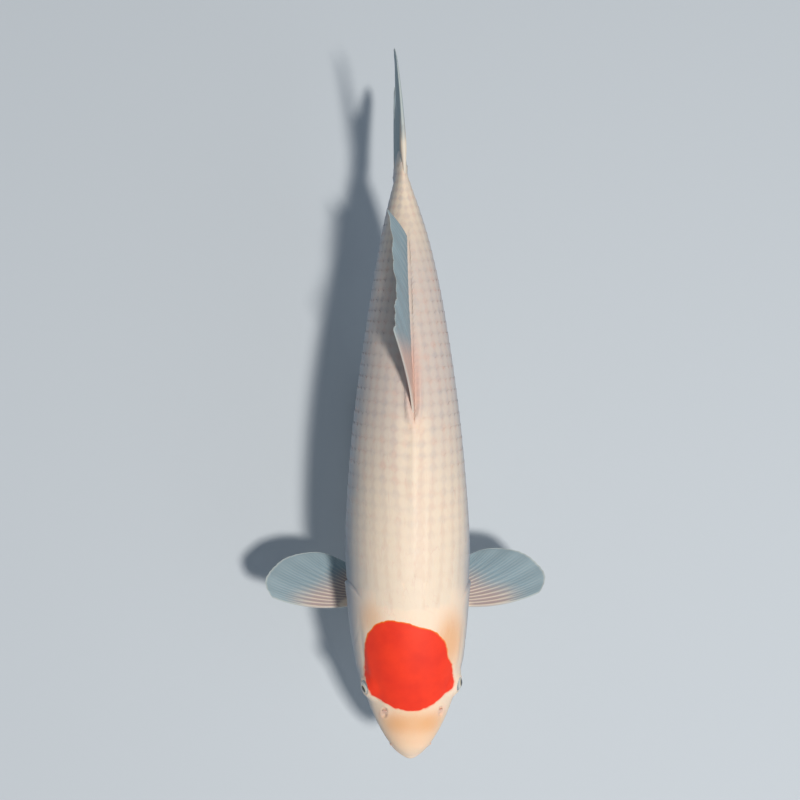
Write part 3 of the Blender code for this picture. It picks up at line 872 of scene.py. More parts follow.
@dataclass(frozen=True)
class Barbel:
    """A soft feeler beside the mouth, from a root in the skin to a fine tip."""

    along: float
    height: float
    length: float
    radius: float
    lean: tuple
    buried: float = 1.4
    bare: float = 0.5
    rows: int = 22
    columns: int = 14

    def add_to(self, parts: MeshParts, skin: Skin, side: int, strip: Strip) -> None:
        """Adds this barbel on one side of the skin.

        Args:
            parts: The piece to add it to.
            skin: The skin that it grows from.
            side: 1 for the left side and -1 for the right one.
            strip: Its place on the bake map.
        """
        out_lean, back_lean, down_lean = self.lean
        width, _, belly, level = skin.shape.section(np.array(self.along))
        drop = abs(self.height - level) / (level - belly)
        reach = width * (1 - drop**skin.shape.belly_squareness) ** (1 / skin.shape.belly_squareness)
        root = skin.shape.place(side * (reach - self.buried), np.array(self.along), self.height)
        share = np.linspace(0, 1, self.rows)
        sway = self.length * out_lean * share * (1 - 0.4 * share)
        out = side * ((self.buried + self.bare) * np.minimum(share * 3, 1) + sway)
        run = self.length * share**2
        path = root + np.stack([out, run * back_lean, -run * down_lean], -1) * MM
        ahead = np.gradient(path, axis=0)
        ahead /= np.linalg.norm(ahead, axis=1, keepdims=True)
        across = np.cross(ahead, np.array([0.0, 1.0, 0.3]))
        across /= np.linalg.norm(across, axis=1, keepdims=True)
        other = np.cross(ahead, across)
        turn = 2 * math.pi * np.arange(self.columns) / self.columns
        tip = np.sqrt(1 - np.clip(share - 0.9, 0, 1) * 9.5)
        radius = self.radius * (1 - 0.62 * share) * (1 + 0.9 * bump(share, 0.1)) * tip
        spoke = across[:, None] * np.cos(turn)[None, :, None] + other[:, None] * np.sin(turn)[None, :, None]
        points = path[:, None] + spoke * (radius * MM)[:, None, None]
        left, bottom, wide, tall = strip.take()
        v, u = np.meshgrid(share, np.arange(self.columns + 1) / self.columns, indexing="ij")
        flat = np.stack([left + wide * u, bottom + tall * v], -1)
        faces = grid_faces(self.rows, self.columns, closed=True)
        rows, cols = np.divmod(faces, self.columns)
        cols = np.where((cols == 0) & (np.arange(4)[None, :] % 3 != 0), self.columns, cols)
        maps = flat[rows, cols]
        ends = [
            np.arange(self.columns)[None, ::-1],
            (np.arange(self.columns) + (self.rows - 1) * self.columns)[None, :],
        ]
        end_maps = [flat[0, :-1][None, ::-1], flat[-1, :-1][None, :]]
        foot = np.array([side * float(reach), self.along, self.height])
        form = np.tile(foot, (self.rows * self.columns, 1))
        paint = np.repeat(np.stack([share * 0 + 0.5, share, share * 0], -1), self.columns, axis=0)
        parts.add(points.reshape(-1, 3), [faces, *ends], [maps, *end_maps], form=form, paint=paint)


BARBELS = (
    Barbel(9.5, -9.5, 11.0, 1.0, (0.1, 0.35, 0.85)),
    Barbel(21.0, -22.5, 20.0, 1.4, (0.12, 0.45, 0.8)),
)


# The scales.


class Row(Enum):
    """The kinds of scale rows."""

    FLANK = "beside the lateral line"
    MIDDLE = "on the middle of the back or belly"
    SHEATH = "small, beside the root of the dorsal fin"


@dataclass(frozen=True)
class Root:
    """Where a scale grows: distance from the snout, row counted up from the lateral line, and kind."""

    along: float
    row: float
    kind: Row


@dataclass
class ScaleCoat:
    """Thin overlapping scales in rows along the body, each one laid on the skin under it.

    Rows run beside the lateral line and end where the body narrows. Each row stands a little further
    back than the one above it. Scales are lowest at the nape, where thick skin covers them.
    """

    skin: Skin
    pitches: tuple = ((95.0, 10.4), (150.0, 10.2), (230.0, 9.8), (345.0, 8.5), (455.0, 6.6))
    rows_apart: tuple = ((95.0, 9.6), (180.0, 10.4), (260.0, 9.4), (345.0, 8.0), (455.0, 6.0))
    step_back: float = 0.2
    overlap: float = 1.72
    half_height: float = 0.72
    lifts: tuple = ((95.0, 0.08), (150.0, 0.24), (230.0, 0.58), (340.0, 0.76), (455.0, 0.5))
    thickness: float = 0.17
    patch: float = 0.003
    sheath_pitch: float = 4.6
    sheath_height: float = 4.2
    sheath_out: float = 3.6
    shares: tuple = (0.0, 0.42, 0.7, 0.9, 1.0)
    columns: int = 11
    column_crowding: float = 1.25
    rear_rounding: float = 0.34
    clearance: float = 0.06
    sheath_lift: float = 0.5
    front_sink: tuple = (0.12, 0.6)
    size_range: tuple = (0.985, 1.015)
    height_range: tuple = (0.97, 1.03)
    middle_stretch: float = 1.15
    seed: int = 7

    def __post_init__(self) -> None:
        """Counts the pitches along the body."""
        self.stations = np.linspace(80.0, self.skin.end, 400)
        steps = np.diff(self.stations) / read(self.pitches, self.stations[1:])
        self.count = np.concatenate([[0], np.cumsum(steps)])

    def lattice(self, along: Array, girth: Array) -> tuple[Array, Array]:
        """A point in the pattern of rows: pitches along and rows up or down, both whole at a root.

        Args:
            along: Distances from the snout.
            girth: Distances round the skin from the widest line.

        Returns:
            The pitches, then the rows.
        """
        way = np.where(girth < 0, -1, 1)
        limit = np.where(way > 0, self.skin.shape.girth(along, 1), self.skin.shape.girth(along, -1))
        folded = np.minimum(np.abs(girth), 2 * limit - np.abs(girth)) * way
        row = folded / read(self.rows_apart, along)
        return np.interp(along, self.stations, self.count) + self.step_back * row, row

    def roots(self) -> list[Root]:
        """The root of every scale of one side.

        Returns:
            The roots, flank rows first, then the middle lines, then the sheath.
        """
        shape, found = self.skin.shape, []
        for row in range(-14, 15):
            steps = np.arange(1, 60) - (row * self.step_back) % 1.0
            places = np.interp(steps, self.count, self.stations, right=np.nan)
            for along in places[~np.isnan(places)]:
                apart = float(read(self.rows_apart, along))
                limit = float(shape.girth(along, 1 if row >= 0 else -1))
                if abs(row) * apart < limit - 0.42 * apart:
                    found.append(Root(float(along), float(row), Row.FLANK))
        places = np.interp(np.arange(1, 60) - 0.5, self.count, self.stations, right=np.nan)
        places = places[~np.isnan(places)]
        found += [Root(float(along), way, Row.MIDDLE) for way in (1.0, -1.0) for along in places]
        start, end = self.skin.dorsal_base
        places = np.arange(start - 3.0, end + 4.0, self.sheath_pitch)
        found += [Root(float(along), 1.0, Row.SHEATH) for along in places]
        return [root for root in found if self.bears(root)]

    def bears(self, root: Root) -> bool:
        """Whether a scale grows there: behind the gills and nape and before the tail's rays.

        Args:
            root: The root to test.

        Returns:
            True where a scale grows.
        """
        shape, along = self.skin.shape, np.array(root.along)
        _, height = shape.outline(along, shape.angle_at(along, self.row_girth(along, root)))
        start, end = self.skin.dorsal_base
        if root.kind is Row.MIDDLE and root.row > 0 and start - 22.0 < along < end - 6.0:
            return False
        return bool(shape.behind_gills(along, height) > 1.6) and along < BODY_LENGTH - 1.0

    def row_girth(self, along: Array, root: Root) -> Array:
        """How far round the skin the middle of a scale's row lies from the lateral line.

        Args:
            along: Distances from the snout.
            root: A root in that row.

        Returns:
            Distances round the skin, down if negative.
        """
        if root.kind is Row.FLANK:
            return root.row * read(self.rows_apart, along)
        limit = root.row * self.skin.shape.girth(along, int(root.row))
        return limit if root.kind is Row.MIDDLE else limit - self.sheath_out

    def build(self, word: str) -> bpy.types.Object:
        """Makes the scales of one side.

        Args:
            word: left or right. The left side has the rows on the middle lines too.

        Returns:
            The coat piece.
        """
        side = SIDES[word]
        parts = MeshParts()
        chance = np.random.default_rng(self.seed + side)
        turn = np.linspace(-self.column_crowding, self.column_crowding, self.columns)
        across = np.sin(turn) / math.sin(self.column_crowding)
        v, u = np.meshgrid(np.array(self.shares), across, indexing="ij")
        rear = 1 - self.rear_rounding * (1 - np.sqrt(1 - (0.97 * u) ** 2))
        rows, columns = v.shape
        faces, rim = grid_faces(rows, columns), rim_faces(rows, columns)
        bottom = faces[:, ::-1] + rows * columns
        for spot in self.roots():
            if spot.kind is Row.MIDDLE and side < 0:
                continue
            along, sheath = spot.along, spot.kind is Row.SHEATH
            pitch = self.sheath_pitch if sheath else float(read(self.pitches, along))
            apart = self.sheath_height if sheath else float(read(self.rows_apart, along))
            lift = float(read(self.lifts, along))
            size = self.overlap * pitch * chance.uniform(*self.size_range)
            stretch = self.middle_stretch if spot.kind is Row.MIDDLE else 1.0
            tall = self.half_height * apart * chance.uniform(*self.height_range) * stretch
            seed = chance.uniform()
            at = np.minimum(along + size * v * rear, BODY_LENGTH + 9.0)
            girth = self.row_girth(at, spot) + u * tall * (0.86 + 0.14 * np.sin(math.pi * v))
            angle = self.skin.shape.angle_at(at, girth)
            angle = angle if side > 0 else math.pi - angle
            rise = self.clearance + (self.sheath_lift if sheath else 0.0)
            rise = rise + lift * v * rear * size / (self.overlap * pitch)
            sink, sink_by_lift = self.front_sink
            rise = rise - (sink + sink_by_lift * lift) * ramp(v, self.shares[1], 0.0)
            top, form = self.skin.surface(at, angle, rise)
            down, _ = self.skin.surface(at, angle, rise - self.thickness)
            points = np.concatenate([top.reshape(-1, 3), down.reshape(-1, 3)])
            root = self.skin.unwrap(np.array(along + 0.6 * size), angle[rows // 2, columns // 2])
            spread = np.stack([u * self.patch / 2, (v - 0.5) * self.patch], -1).reshape(-1, 2)
            place = np.clip(root + spread, 0.0, 1.0)
            place = np.concatenate([place, place])
            place_in_row, row_place = self.lattice(at, girth)
            plate = np.stack([place_in_row, row_place, v + seed], -1).reshape(-1, 3)
            parts.add(
                points,
                [faces, rim, bottom],
                [place[faces], place[rim], place[bottom]],
                form=np.concatenate([form.reshape(-1, 3)] * 2),
                plate=np.concatenate([plate] * 2),
            )
        return parts.build(f"koi_scales_{word}", sharp=45.0)


# The fins.


@dataclass
class Fin:
    """A fan of soft rays joined by a thin skin, on the same rule as the solid that it replaces.

    Angles and lengths are as in the solid: from the first ray, which leads, to the last. A ray forks
    twice on its way out. The skin between two rays ends a little short of their tips.
    """

    shape: BodyShape
    base: tuple
    span: Array
    chord: Array
    lean: Array
    angles: tuple
    sweep: tuple
    lengths: tuple
    bend: tuple
    thickness: tuple
    rays: int
    bend_power: float = 1.5
    bend_rise: float = 1.0
    root_taper: float = 0.13
    notch: float = 0.03
    flutter: float = 0.5
    flesh: float = 0.16
    first_fork: float = 0.42
    rows: int = 64
    columns_a_ray: int = 9

    def middle(self, u: Array, v: Array) -> Array:
        """Points of the middle surface in metres: u runs from first ray to last, v from root to tip.

        Args:
            u: Shares from the first ray to the last.
            v: Shares from root to tip.

        Returns:
            The points, with x, y and z last.
        """
        length = SmoothCurve(np.linspace(0, 1, len(self.lengths)), self.lengths)(u)
        angle = np.radians(between(self.angles, u))
        turn = np.radians(between(self.sweep, u))
        turn = np.where(np.abs(turn) < 1e-6, 1e-6, turn)
        out = (np.sin(angle + turn * v) - np.sin(angle)) / turn
        back = (np.cos(angle) - np.cos(angle + turn * v)) / turn
        bend = between(self.bend, u**self.bend_rise)
        parts = (
            (self.span, out * np.sqrt(1 - bend**2)),
            (self.chord, back),
            (self.lean, bend * v**self.bend_power),
        )
        offset = sum(np.asarray(way)[None, None, :] * size[..., None] for way, size in parts)
        first, last = (np.asarray(spot) for spot in self.base)
        start = first + (last - first) * u[..., None]
        x, along, height = np.moveaxis(start + offset * length[..., None], -1, 0)
        return np.stack([x, along - TOTAL_LENGTH / 2, height + AXIS_HEIGHT], -1) * MM

    def forks(self, u: Array, v: Array) -> Array:
        """How near the middle of a ray or of one of its branches a point lies: 1 on it and 0 between two.

        Args:
            u: Shares from the first ray to the last.
            v: Shares from root to tip.

        Returns:
            The nearness of each point.
        """
        cell = np.mod(u * self.rays, 1.0) - 0.5
        first = 0.25 * ramp(v, self.first_fork, self.first_fork + 0.38)
        second = 0.12 * ramp(v, 0.72, 1.0)
        width = 0.2 - 0.115 * ramp(v, 0.1, 0.95)
        apart = [np.abs(cell - a * first - b * second) for a in (-1, 1) for b in (-1, 1)]
        return bump(np.minimum.reduce(apart) / width, 1.0)

    def add_to(self, parts: MeshParts, box: tuple, seed: int) -> None:
        """Adds this fin to a piece, in that box of the bake map.

        Args:
            parts: The piece to add it to.
            box: Its box of the bake map.
            seed: Sets its wear and its waves.
        """
        chance = np.random.default_rng(seed)
        columns = self.rays * self.columns_a_ray + 1
        v, u = np.meshgrid(np.linspace(0, 1, self.rows) ** 0.9, np.linspace(0, 1, columns), indexing="ij")
        ray = self.forks(u, v)
        tips = self.forks(u, np.ones_like(v) * 0.6)
        wear = chance.uniform(0.4, 1.0, self.rays * 2 + 1)
        ragged = np.interp(u[0], np.linspace(0, 1, self.rays * 2 + 1), wear)
        short = self.notch * (1 - tips) * ragged[None, :] * ramp(v, 0.5, 1.0)
        middle = self.middle(u, v * (1 - short))
        wave = np.sin(2 * math.pi * (u * self.rays * 0.34 + chance.uniform())) * 0.6
        wave = wave + np.sin(2 * math.pi * (u * self.rays * 0.13 + chance.uniform()))
        middle = middle + np.asarray(self.lean) * (self.flutter * wave * v**2)[..., None] * MM
        first, last, margin = self.thickness
        root = between((first, last), np.sqrt(u))
        full = root + (margin - root) * v**0.6
        edge = bump(u / 0.028, 1.0)
        web = between((1.0, 0.74), ramp(v, self.flesh * 0.25, self.flesh * 1.7))
        thick = full * np.maximum(web + (0.96 - web) * ray, edge * 0.96)
        # Fins thin out at the tips, round off in front, and taper where they go into the flesh.
        thick = thick * (1 - 0.55 * ramp(v, 0.95, 1.0)) * (0.55 + 0.45 * ramp(u, 0.0, 0.022))
        thick = thick * (0.25 + 0.75 * ramp(v, 0.0, self.root_taper))
        x, along, height = np.moveaxis(middle / MM, -1, 0)
        along = along + TOTAL_LENGTH / 2
        form = np.stack([x - self.shape.axis(along), along, height - AXIS_HEIGHT], -1)
        shell(parts, middle, thick * MM, form, box, paint=np.stack([u, v, ray], -1))


@dataclass
class FinSet:
    """All the fins, each a piece of its own in the place of its solid."""

    shape: BodyShape

    def beside(self, along: float, height: float, out: float = 0.0) -> Array:
        """A point beside the bent axis, in millimetres."""
        return np.array([float(self.shape.axis(along)) + out, along, height])

    def rolled(self, side: int, degrees: float) -> Array:
        """Straight out to one side, turned down about the fish's long axis."""
        turn = math.radians(degrees)
        return np.array([side * math.cos(turn), 0.0, -math.sin(turn)])

    def back(self, along: float) -> float:
        """Height of the back there."""
        return float(self.shape.section(np.array(along))[1])

    def belly(self, along: float) -> float:
        """Height of the belly there."""
        return float(self.shape.section(np.array(along))[2])

    def dorsal(self) -> Fin:
        """The long fin of the back, which leans to the fish's right.

        Returns:
            The fin.
        """
        return Fin(
            self.shape, base=tuple(self.beside(s, self.back(s) - 5.0) for s in (250.0, 395.0)),
            span=UP, chord=BACKWARD, lean=-LEFTWARD,
            angles=(52, 48), sweep=(16, 10), lengths=(73, 60, 49, 41, 36, 32, 29), bend=(0.25, 0.58),
            thickness=(3.4, 2.2, 0.7), rays=20, bend_rise=2.0, notch=0.022, flutter=0.7, flesh=0.2,
            first_fork=0.35,
        )

    def anal(self) -> Fin:
        """The fin under the tail stalk.

        Returns:
            The fin.
        """
        return Fin(
            self.shape, base=tuple(self.beside(s, self.belly(s) + 4.0) for s in (346.0, 382.0)),
            span=-UP, chord=BACKWARD, lean=LEFTWARD,
            angles=(30, 44), sweep=(14, 8), lengths=(50, 54, 50, 43, 35, 29), bend=(0.05, 0.12),
            thickness=(4.0, 2.5, 0.9), rays=8, notch=0.025, columns_a_ray=12,
        )

    def tail_lobe(self, up: int) -> Fin:
        """The upper (1) or lower (-1) lobe of the tail fin, whose inner rays cup to the fish's right.

        Args:
            up: 1 for the upper lobe and -1 for the lower one.

        Returns:
            The lobe.
        """
        run = self.beside(TOTAL_LENGTH, 0) - self.beside(BODY_LENGTH, 0)
        root = BODY_LENGTH - 3.0
        return Fin(
            self.shape, base=(self.beside(root, up * 25.0, 0.5 + 0.5 * up), self.beside(root, up * -0.35)),
            span=run / np.linalg.norm(run), chord=-up * UP,
            lean=-up * LEFTWARD, angles=(-22, 0), sweep=(10, 0),
            lengths=(90, 101, 95, 81, 68, 59, 54), bend=(0.048, 0.035 * up), thickness=(7.4, 9.0, 1.1),
            rays=10, bend_power=2.1, root_taper=0.3, notch=0.02, flutter=0.35, first_fork=0.34,
            rows=90, columns_a_ray=10,
        )

    def pectoral(self, side: int) -> Fin:
        """The broad fin behind a gill cover, held out level.

        Args:
            side: 1 for the left side and -1 for the right one.

        Returns:
            The fin.
        """
        sweep_back, stretch = {1: (2.5, 1.035), -1: (-0.5, 0.965)}[side]
        return Fin(
            self.shape, base=(self.beside(118, -40, side * 33 - 0.5), self.beside(138, -46, side * 31)),
            span=self.rolled(side, -7), chord=BACKWARD, lean=-UP,
            angles=(sweep_back - 14, sweep_back + 34), sweep=(36, 16),
            lengths=tuple(stretch * length for length in (76, 83, 79, 71, 58, 43, 20)),
            bend=(0.04, 0.16), thickness=(5.0, 3.0, 0.8), rays=16, bend_power=2.0, notch=0.006, flutter=0.5,
            flesh=0.1, rows=72,
        )

    def pelvic(self, side: int) -> Fin:
        """The smaller fin under the belly.

        Args:
            side: 1 for the left side and -1 for the right one.

        Returns:
            The fin.
        """
        front = self.beside(240, self.belly(240.0) + 7, side * 14)
        rear = self.beside(253, self.belly(253.0) + 8, side * 9)
        return Fin(
            self.shape, base=(front, rear),
            span=self.rolled(side, 55), chord=BACKWARD, lean=-UP,
            angles=(40, 80), sweep=(18, 6), lengths=(56, 61, 59, 51, 38), bend=(0, 0.1),
            thickness=(3.6, 2.4, 0.8), rays=9, bend_power=2.0, notch=0.02, columns_a_ray=10,
        )

    def build(self) -> list[tuple[bpy.types.Object, tuple[str, ...]]]:
        """Makes every fin.

        Returns:
            Each piece and the nodes that it stands for.
        """
        plans = [
            ("rayed_dorsal_fin", ("dorsal_fin",), [self.dorsal()]),
            ("rayed_anal_fin", ("anal_fin",), [self.anal()]),
        ]
        for word, side in SIDES.items():
            plans.append((f"rayed_pectoral_fin_{word}", (f"pectoral_fin_{word}",), [self.pectoral(side)]))
            plans.append((f"rayed_pelvic_fin_{word}", (f"pelvic_fin_{word}",), [self.pelvic(side)]))
        lobes = [self.tail_lobe(1), self.tail_lobe(-1)]
        plans.append(("rayed_tail_fin", ("tail_fin_upper", "tail_fin_lower"), lobes))
        made = []
        for seed, (name, nodes, fins) in enumerate(plans):
            parts = MeshParts()
            for k, fin in enumerate(fins):
                tall = 0.98 / len(fins)
                fin.add_to(parts, (0.01, 0.01 + k * tall, 0.98, tall * 0.97), seed=seed * 10 + k)
            made.append((parts.build(name, sharp=60.0), nodes))
        return made


# The eyes.


@dataclass
class Eye:
    """An eyeball with its iris, a pupil that stands a little proud, and the clear bulge over them."""

    skin: Skin
    pupil: float = 3.05
    iris: float = 5.6
    bulge: float = 0.32
    groove: float = 0.16
    gaze_up: float = 15.0
    glance: float = 13.0
    rows: int = 60
    columns: int = 64

    def build(self, word: str) -> bpy.types.Object:
        """Makes the eyeball of one side, with its pole where the eye looks.

        Both eyes turn a little to the fish's left, so the right one looks forward and the left one back.

        Args:
            word: left or right.

        Returns:
            The eye piece.
        """
        forward = self.skin.socket_forward - SIDES[word] * self.glance
        centre, gaze = self.skin.eye_place(SIDES[word], self.gaze_up, forward)
        across = np.cross(gaze, UP)
        across /= np.linalg.norm(across)
        up = np.cross(across, gaze)
        radius = self.skin.eye[3]
        share = np.linspace(0, 1, self.rows + 1)[1:-1]
        polar = math.pi * share**1.35
        turn = 2 * math.pi * np.arange(self.columns) / self.columns
        polar_grid, turn_grid = np.meshgrid(polar, turn, indexing="ij")
        apart = radius * np.sin(polar_grid)
        in_front = polar_grid < 1.5
        size = radius + self.bulge * bump(apart / (self.iris * 0.9), 1.0) * in_front
        size = size - self.groove * bump(apart - self.pupil - 0.1, 0.22) * in_front
        spoke = np.cos(turn_grid)[..., None] * across + np.sin(turn_grid)[..., None] * up
        way = np.cos(polar_grid)[..., None] * gaze
        way = way + np.sin(polar_grid)[..., None] * spoke
        poles = [centre + gaze * (radius + self.bulge) * MM, centre - gaze * radius * MM]
        points = np.concatenate([(centre + way * size[..., None] * MM).reshape(-1, 3), poles])
        count = len(polar) * self.columns
        faces = grid_faces(len(polar), self.columns, closed=True)
        spread = (polar_grid / math.pi * 0.48)[..., None]
        flat = 0.5 + spread * np.stack([np.cos(turn_grid), np.sin(turn_grid)], -1)
        flat = flat.reshape(-1, 2)
        fans, maps = [], []
        for start, pole, whole in ((0, count, 0.0), (count - self.columns, count + 1, 0.495)):
            fan = fan_faces(start, pole, self.columns)
            turns = turn + math.pi / self.columns
            tip = 0.5 + whole * np.stack([np.cos(turns), np.sin(turns)], -1)
            fans.append(fan)
            maps.append(np.concatenate([flat[fan[:, :2]], tip[:, None]], axis=1))
        ahead = (points[:count].reshape(way.shape) - centre) @ gaze / MM
        front = np.stack([apart * np.cos(turn_grid), apart * np.sin(turn_grid), ahead], -1)
        look = np.concatenate([front.reshape(-1, 3), [[0, 0, radius], [0, 0, -radius]]])
        parts = MeshParts()
        parts.add(points, [faces, *fans], [flat[faces], *maps], look=look)
        return parts.build(f"koi_eye_{word}")


# Materials.


class Paint:
    """A material's node tree under construction."""

    def __init__(self, name: str) -> None:
        """Starts an empty material of that name.

        Args:
            name: The name of the material.
        """
        self.material = bpy.data.materials.new(name)
        self.material.use_nodes = True
        self.tree = self.material.node_tree
        self.shader = self.tree.nodes["Principled BSDF"]

    def add(self, kind: str, inputs: dict | None = None, out: int | str = 0, **settings: object) -> Socket:
        """Adds a node with its settings and links.

        Args:
            kind: The node's type, without its ShaderNode prefix.
            inputs: For a socket's name or number, its value or the socket that feeds it.
            out: Which of its outputs to give back.
            settings: The node's own settings by name.

        Returns:
            That output.
        """
        node = self.tree.nodes.new(f"ShaderNode{kind}")
        for name, value in settings.items():
            setattr(node, name, value)
        for key, value in (inputs or {}).items():
            if isinstance(value, Socket):
                self.tree.links.new(value, node.inputs[key])
            else:
                node.inputs[key].default_value = value
        return node.outputs[out]

    def feed(self, **inputs: object) -> None:
        """Sets or links the main shader's own sockets, named with underscores for spaces."""
        for key, value in inputs.items():
            socket = self.shader.inputs[key.replace("_", " ")]
            if isinstance(value, Socket):
                self.tree.links.new(value, socket)
            else:
                socket.default_value = value


@dataclass(frozen=True)
class Lobe:
    """A bulge, or if negative a dent, in the outline of the red mark: where, how narrow and how far."""

    degrees: float
    narrowness: float
    millimetres: float


@dataclass(frozen=True)
class KoiMarkings:
    """The colours of a white koi with one red mark on its head, the same on its skin and its scales, with
    painted shade on the flanks and a painted highlight along the ridge of the back.
    """

    cream: str = "#F0DCC6"
    loin: str = "#D5C6BE"
    # flank: blue-grey painted shade for the sides of the body.
    flank: str = "#A3AAB4"
    # ridge: a lighter cream, painted highlight along the top of the back.
    belly: str = "#EDE9E1"
    ridge: str = "#F3DEC8"
    blush: str = "#E0B5A6"
    shade: str = "#B0A9AF"
    yellow: str = "#E3A160"
    flesh: str = "#E2BCAF"
    film: str = "#93A0A8"
    nose: str = "#F2C7A0"
    red: str = "#F24026"
    deep_red: str = "#E53825"
    rim: str = "#F07A1E"
    mark_centre: tuple = (-2.5, 69.5)
    mark_radius: float = 33.6
    lobes: tuple = (
        Lobe(132, 10.0, 7.0), Lobe(50, 2.2, -3.2), Lobe(82, 16.0, -2.4),
        Lobe(-30, 12.0, 1.8), Lobe(13, 50.0, -2.6),
        Lobe(-153, 40.0, -1.6),
    )

    def mark_edge(self, paint: Paint, out: Socket, along: Socket, form: Socket) -> Socket:
        """How far outside the red mark's edge a point lies, in millimetres: negative inside it.

        Args:
            paint: The material to add nodes to.
            out: Distance from the middle plane.
            along: Distance from the snout.
            form: Place on the plain form.

        Returns:
            The distance.
        """
        add = paint.add
        x = add("Math", {0: out, 1: self.mark_centre[0]}, operation="SUBTRACT")
        y = add("Math", {0: along, 1: self.mark_centre[1]}, operation="SUBTRACT")
        turn = add("Math", {0: y, 1: x}, operation="ARCTAN2")
        far = add("VectorMath", {0: add("CombineXYZ", {0: x, 1: y})}, 1, operation="LENGTH")
        # The edge of the colour steps from cell to cell, about 2.5 mm across.
        ragged = add("TexNoise", {"Vector": form, "Scale": 0.12, "Detail": 2.5}, "Fac")
        radius = add("Math", {0: ragged, 1: 3.4, 2: self.mark_radius - 1.7}, operation="MULTIPLY_ADD")
        for lobe in self.lobes:
            apart = add("Math", {0: turn, 1: math.radians(lobe.degrees)}, operation="SUBTRACT")
            near = add("Math", {0: apart}, operation="COSINE")
            near = add("Math", {0: near, 1: lobe.narrowness, 2: -lobe.narrowness}, operation="MULTIPLY_ADD")
            near = add("Math", {0: near}, operation="EXPONENT")
            radius = add("Math", {0: near, 1: lobe.millimetres, 2: radius}, operation="MULTIPLY_ADD")
        return add("Math", {0: far, 1: radius}, operation="SUBTRACT")

    def patch(self, paint: Paint, form: Socket, centre: tuple, size: tuple) -> Socket:
        """A soft oval patch round a place on the body: 1 in its middle and 0 outside it.

        Args:
            paint: The material to add nodes to.
            form: Place on the plain form.
            centre: The middle of the patch.
            size: How far it reaches each way.

        Returns:
            The strength of the patch.
        """
        add = paint.add
        offset = add("VectorMath", {0: form, 1: centre}, operation="SUBTRACT")
        share = add("VectorMath", {0: offset, 1: size}, operation="DIVIDE")
        far = add("VectorMath", {0: share}, 1, operation="LENGTH")
        return add("MapRange", {0: far, 1: 1.0, 2: 0.15}, **SMOOTH)

    def colour(self, paint: Paint, form: Socket) -> Socket:
        """The colour of the body at a place on its plain form.

        Args:
            paint: The material under construction.
            form: Out, along and height of the place, in millimetres.

        Returns:
            The colour's socket.
        """
        add = paint.add
        out, along, height = (add("SeparateXYZ", {0: form}, k) for k in range(3))
        # The back rises and falls along the body, so heights are taken as shares of its own.
        crest = add("MapRange", {0: along, 1: 0.0, 2: 150.0, 3: 0.0, 4: 62.0}, **SMOOTH)
        fall = add("MapRange", {0: along, 1: 260.0, 2: 450.0, 3: 0.0, 4: 36.0})
        crest = add("Math", {0: crest, 1: fall}, operation="SUBTRACT")
        level = add("MapRange", {0: along, 1: 0.0, 2: 150.0, 3: -18.0, 4: 0.0}, **SMOOTH)
        over = add("Math", {0: height, 1: level}, operation="SUBTRACT")
        tall = add("Math", {0: crest, 1: level}, operation="SUBTRACT")
        share = add("Math", {0: over, 1: tall}, operation="DIVIDE")
        wander = add("TexNoise", {"Vector": form, "Scale": 0.035, "Detail": 3.0}, "Fac")
        share = add("Math", {0: wander, 1: 0.25, 2: share}, operation="MULTIPLY_ADD")
        # Low on the sides the colour turns blue-grey: painted shade, strongest round the widest line and at
        # the outline seen from above.
        upper = add("MapRange", {0: share, 1: 0.3, 2: 1.0}, **SMOOTH)
        lower = add("MapRange", {0: height, 1: -12.0, 2: -46.0}, **SMOOTH)
        # The cream of the back greys toward the loin and comes back over the tail stalk.
        grey = add("MapRange", {0: along, 1: 170.0, 2: 300.0, 3: 0.0, 4: 0.85}, **SMOOTH)
        stalk = add("MapRange", {0: along, 1: 430.0, 2: 360.0}, **SMOOTH)
        grey = add("Math", {0: grey, 1: stalk}, operation="MULTIPLY")
        back = add("Mix", {0: grey, 6: linear(self.cream), 7: linear(self.loin)}, 2, **COLOURS)
        colour = add("Mix", {0: upper, 6: linear(self.flank), 7: back}, 2, **COLOURS)
        colour = add("Mix", {0: lower, 6: colour, 7: linear(self.belly)}, 2, **COLOURS)
        # Over the roots of the tail's rays the skin takes the grey of the fin.
        rooted = add("MapRange", {0: along, 1: 454.0, 2: 472.0, 3: 0.0, 4: 0.85}, **SMOOTH)
        colour = add("Mix", {0: rooted, 6: colour, 7: linear(self.film)}, 2, **COLOURS)
        # A lighter line along the ridge before the dorsal fin is a painted highlight.
        middle = add("Math", {0: out, 1: out}, operation="MULTIPLY")
        middle = add("MapRange", {0: middle, 1: 260.0, 2: 0.0}, **SMOOTH)
        reach = add("MapRange", {0: along, 1: 100.0, 2: 160.0}, **SMOOTH)
        until = add("MapRange", {0: along, 1: 262.0, 2: 246.0}, **SMOOTH)
        above = add("MapRange", {0: height, 1: 20.0, 2: 40.0})
        ridge_highlight = middle
        for limit in (reach, until, above):
            ridge_highlight = add("Math", {0: ridge_highlight, 1: limit}, operation="MULTIPLY")
        colour = add("Mix", {0: ridge_highlight, 6: colour, 7: linear(self.ridge)}, 2, **COLOURS)
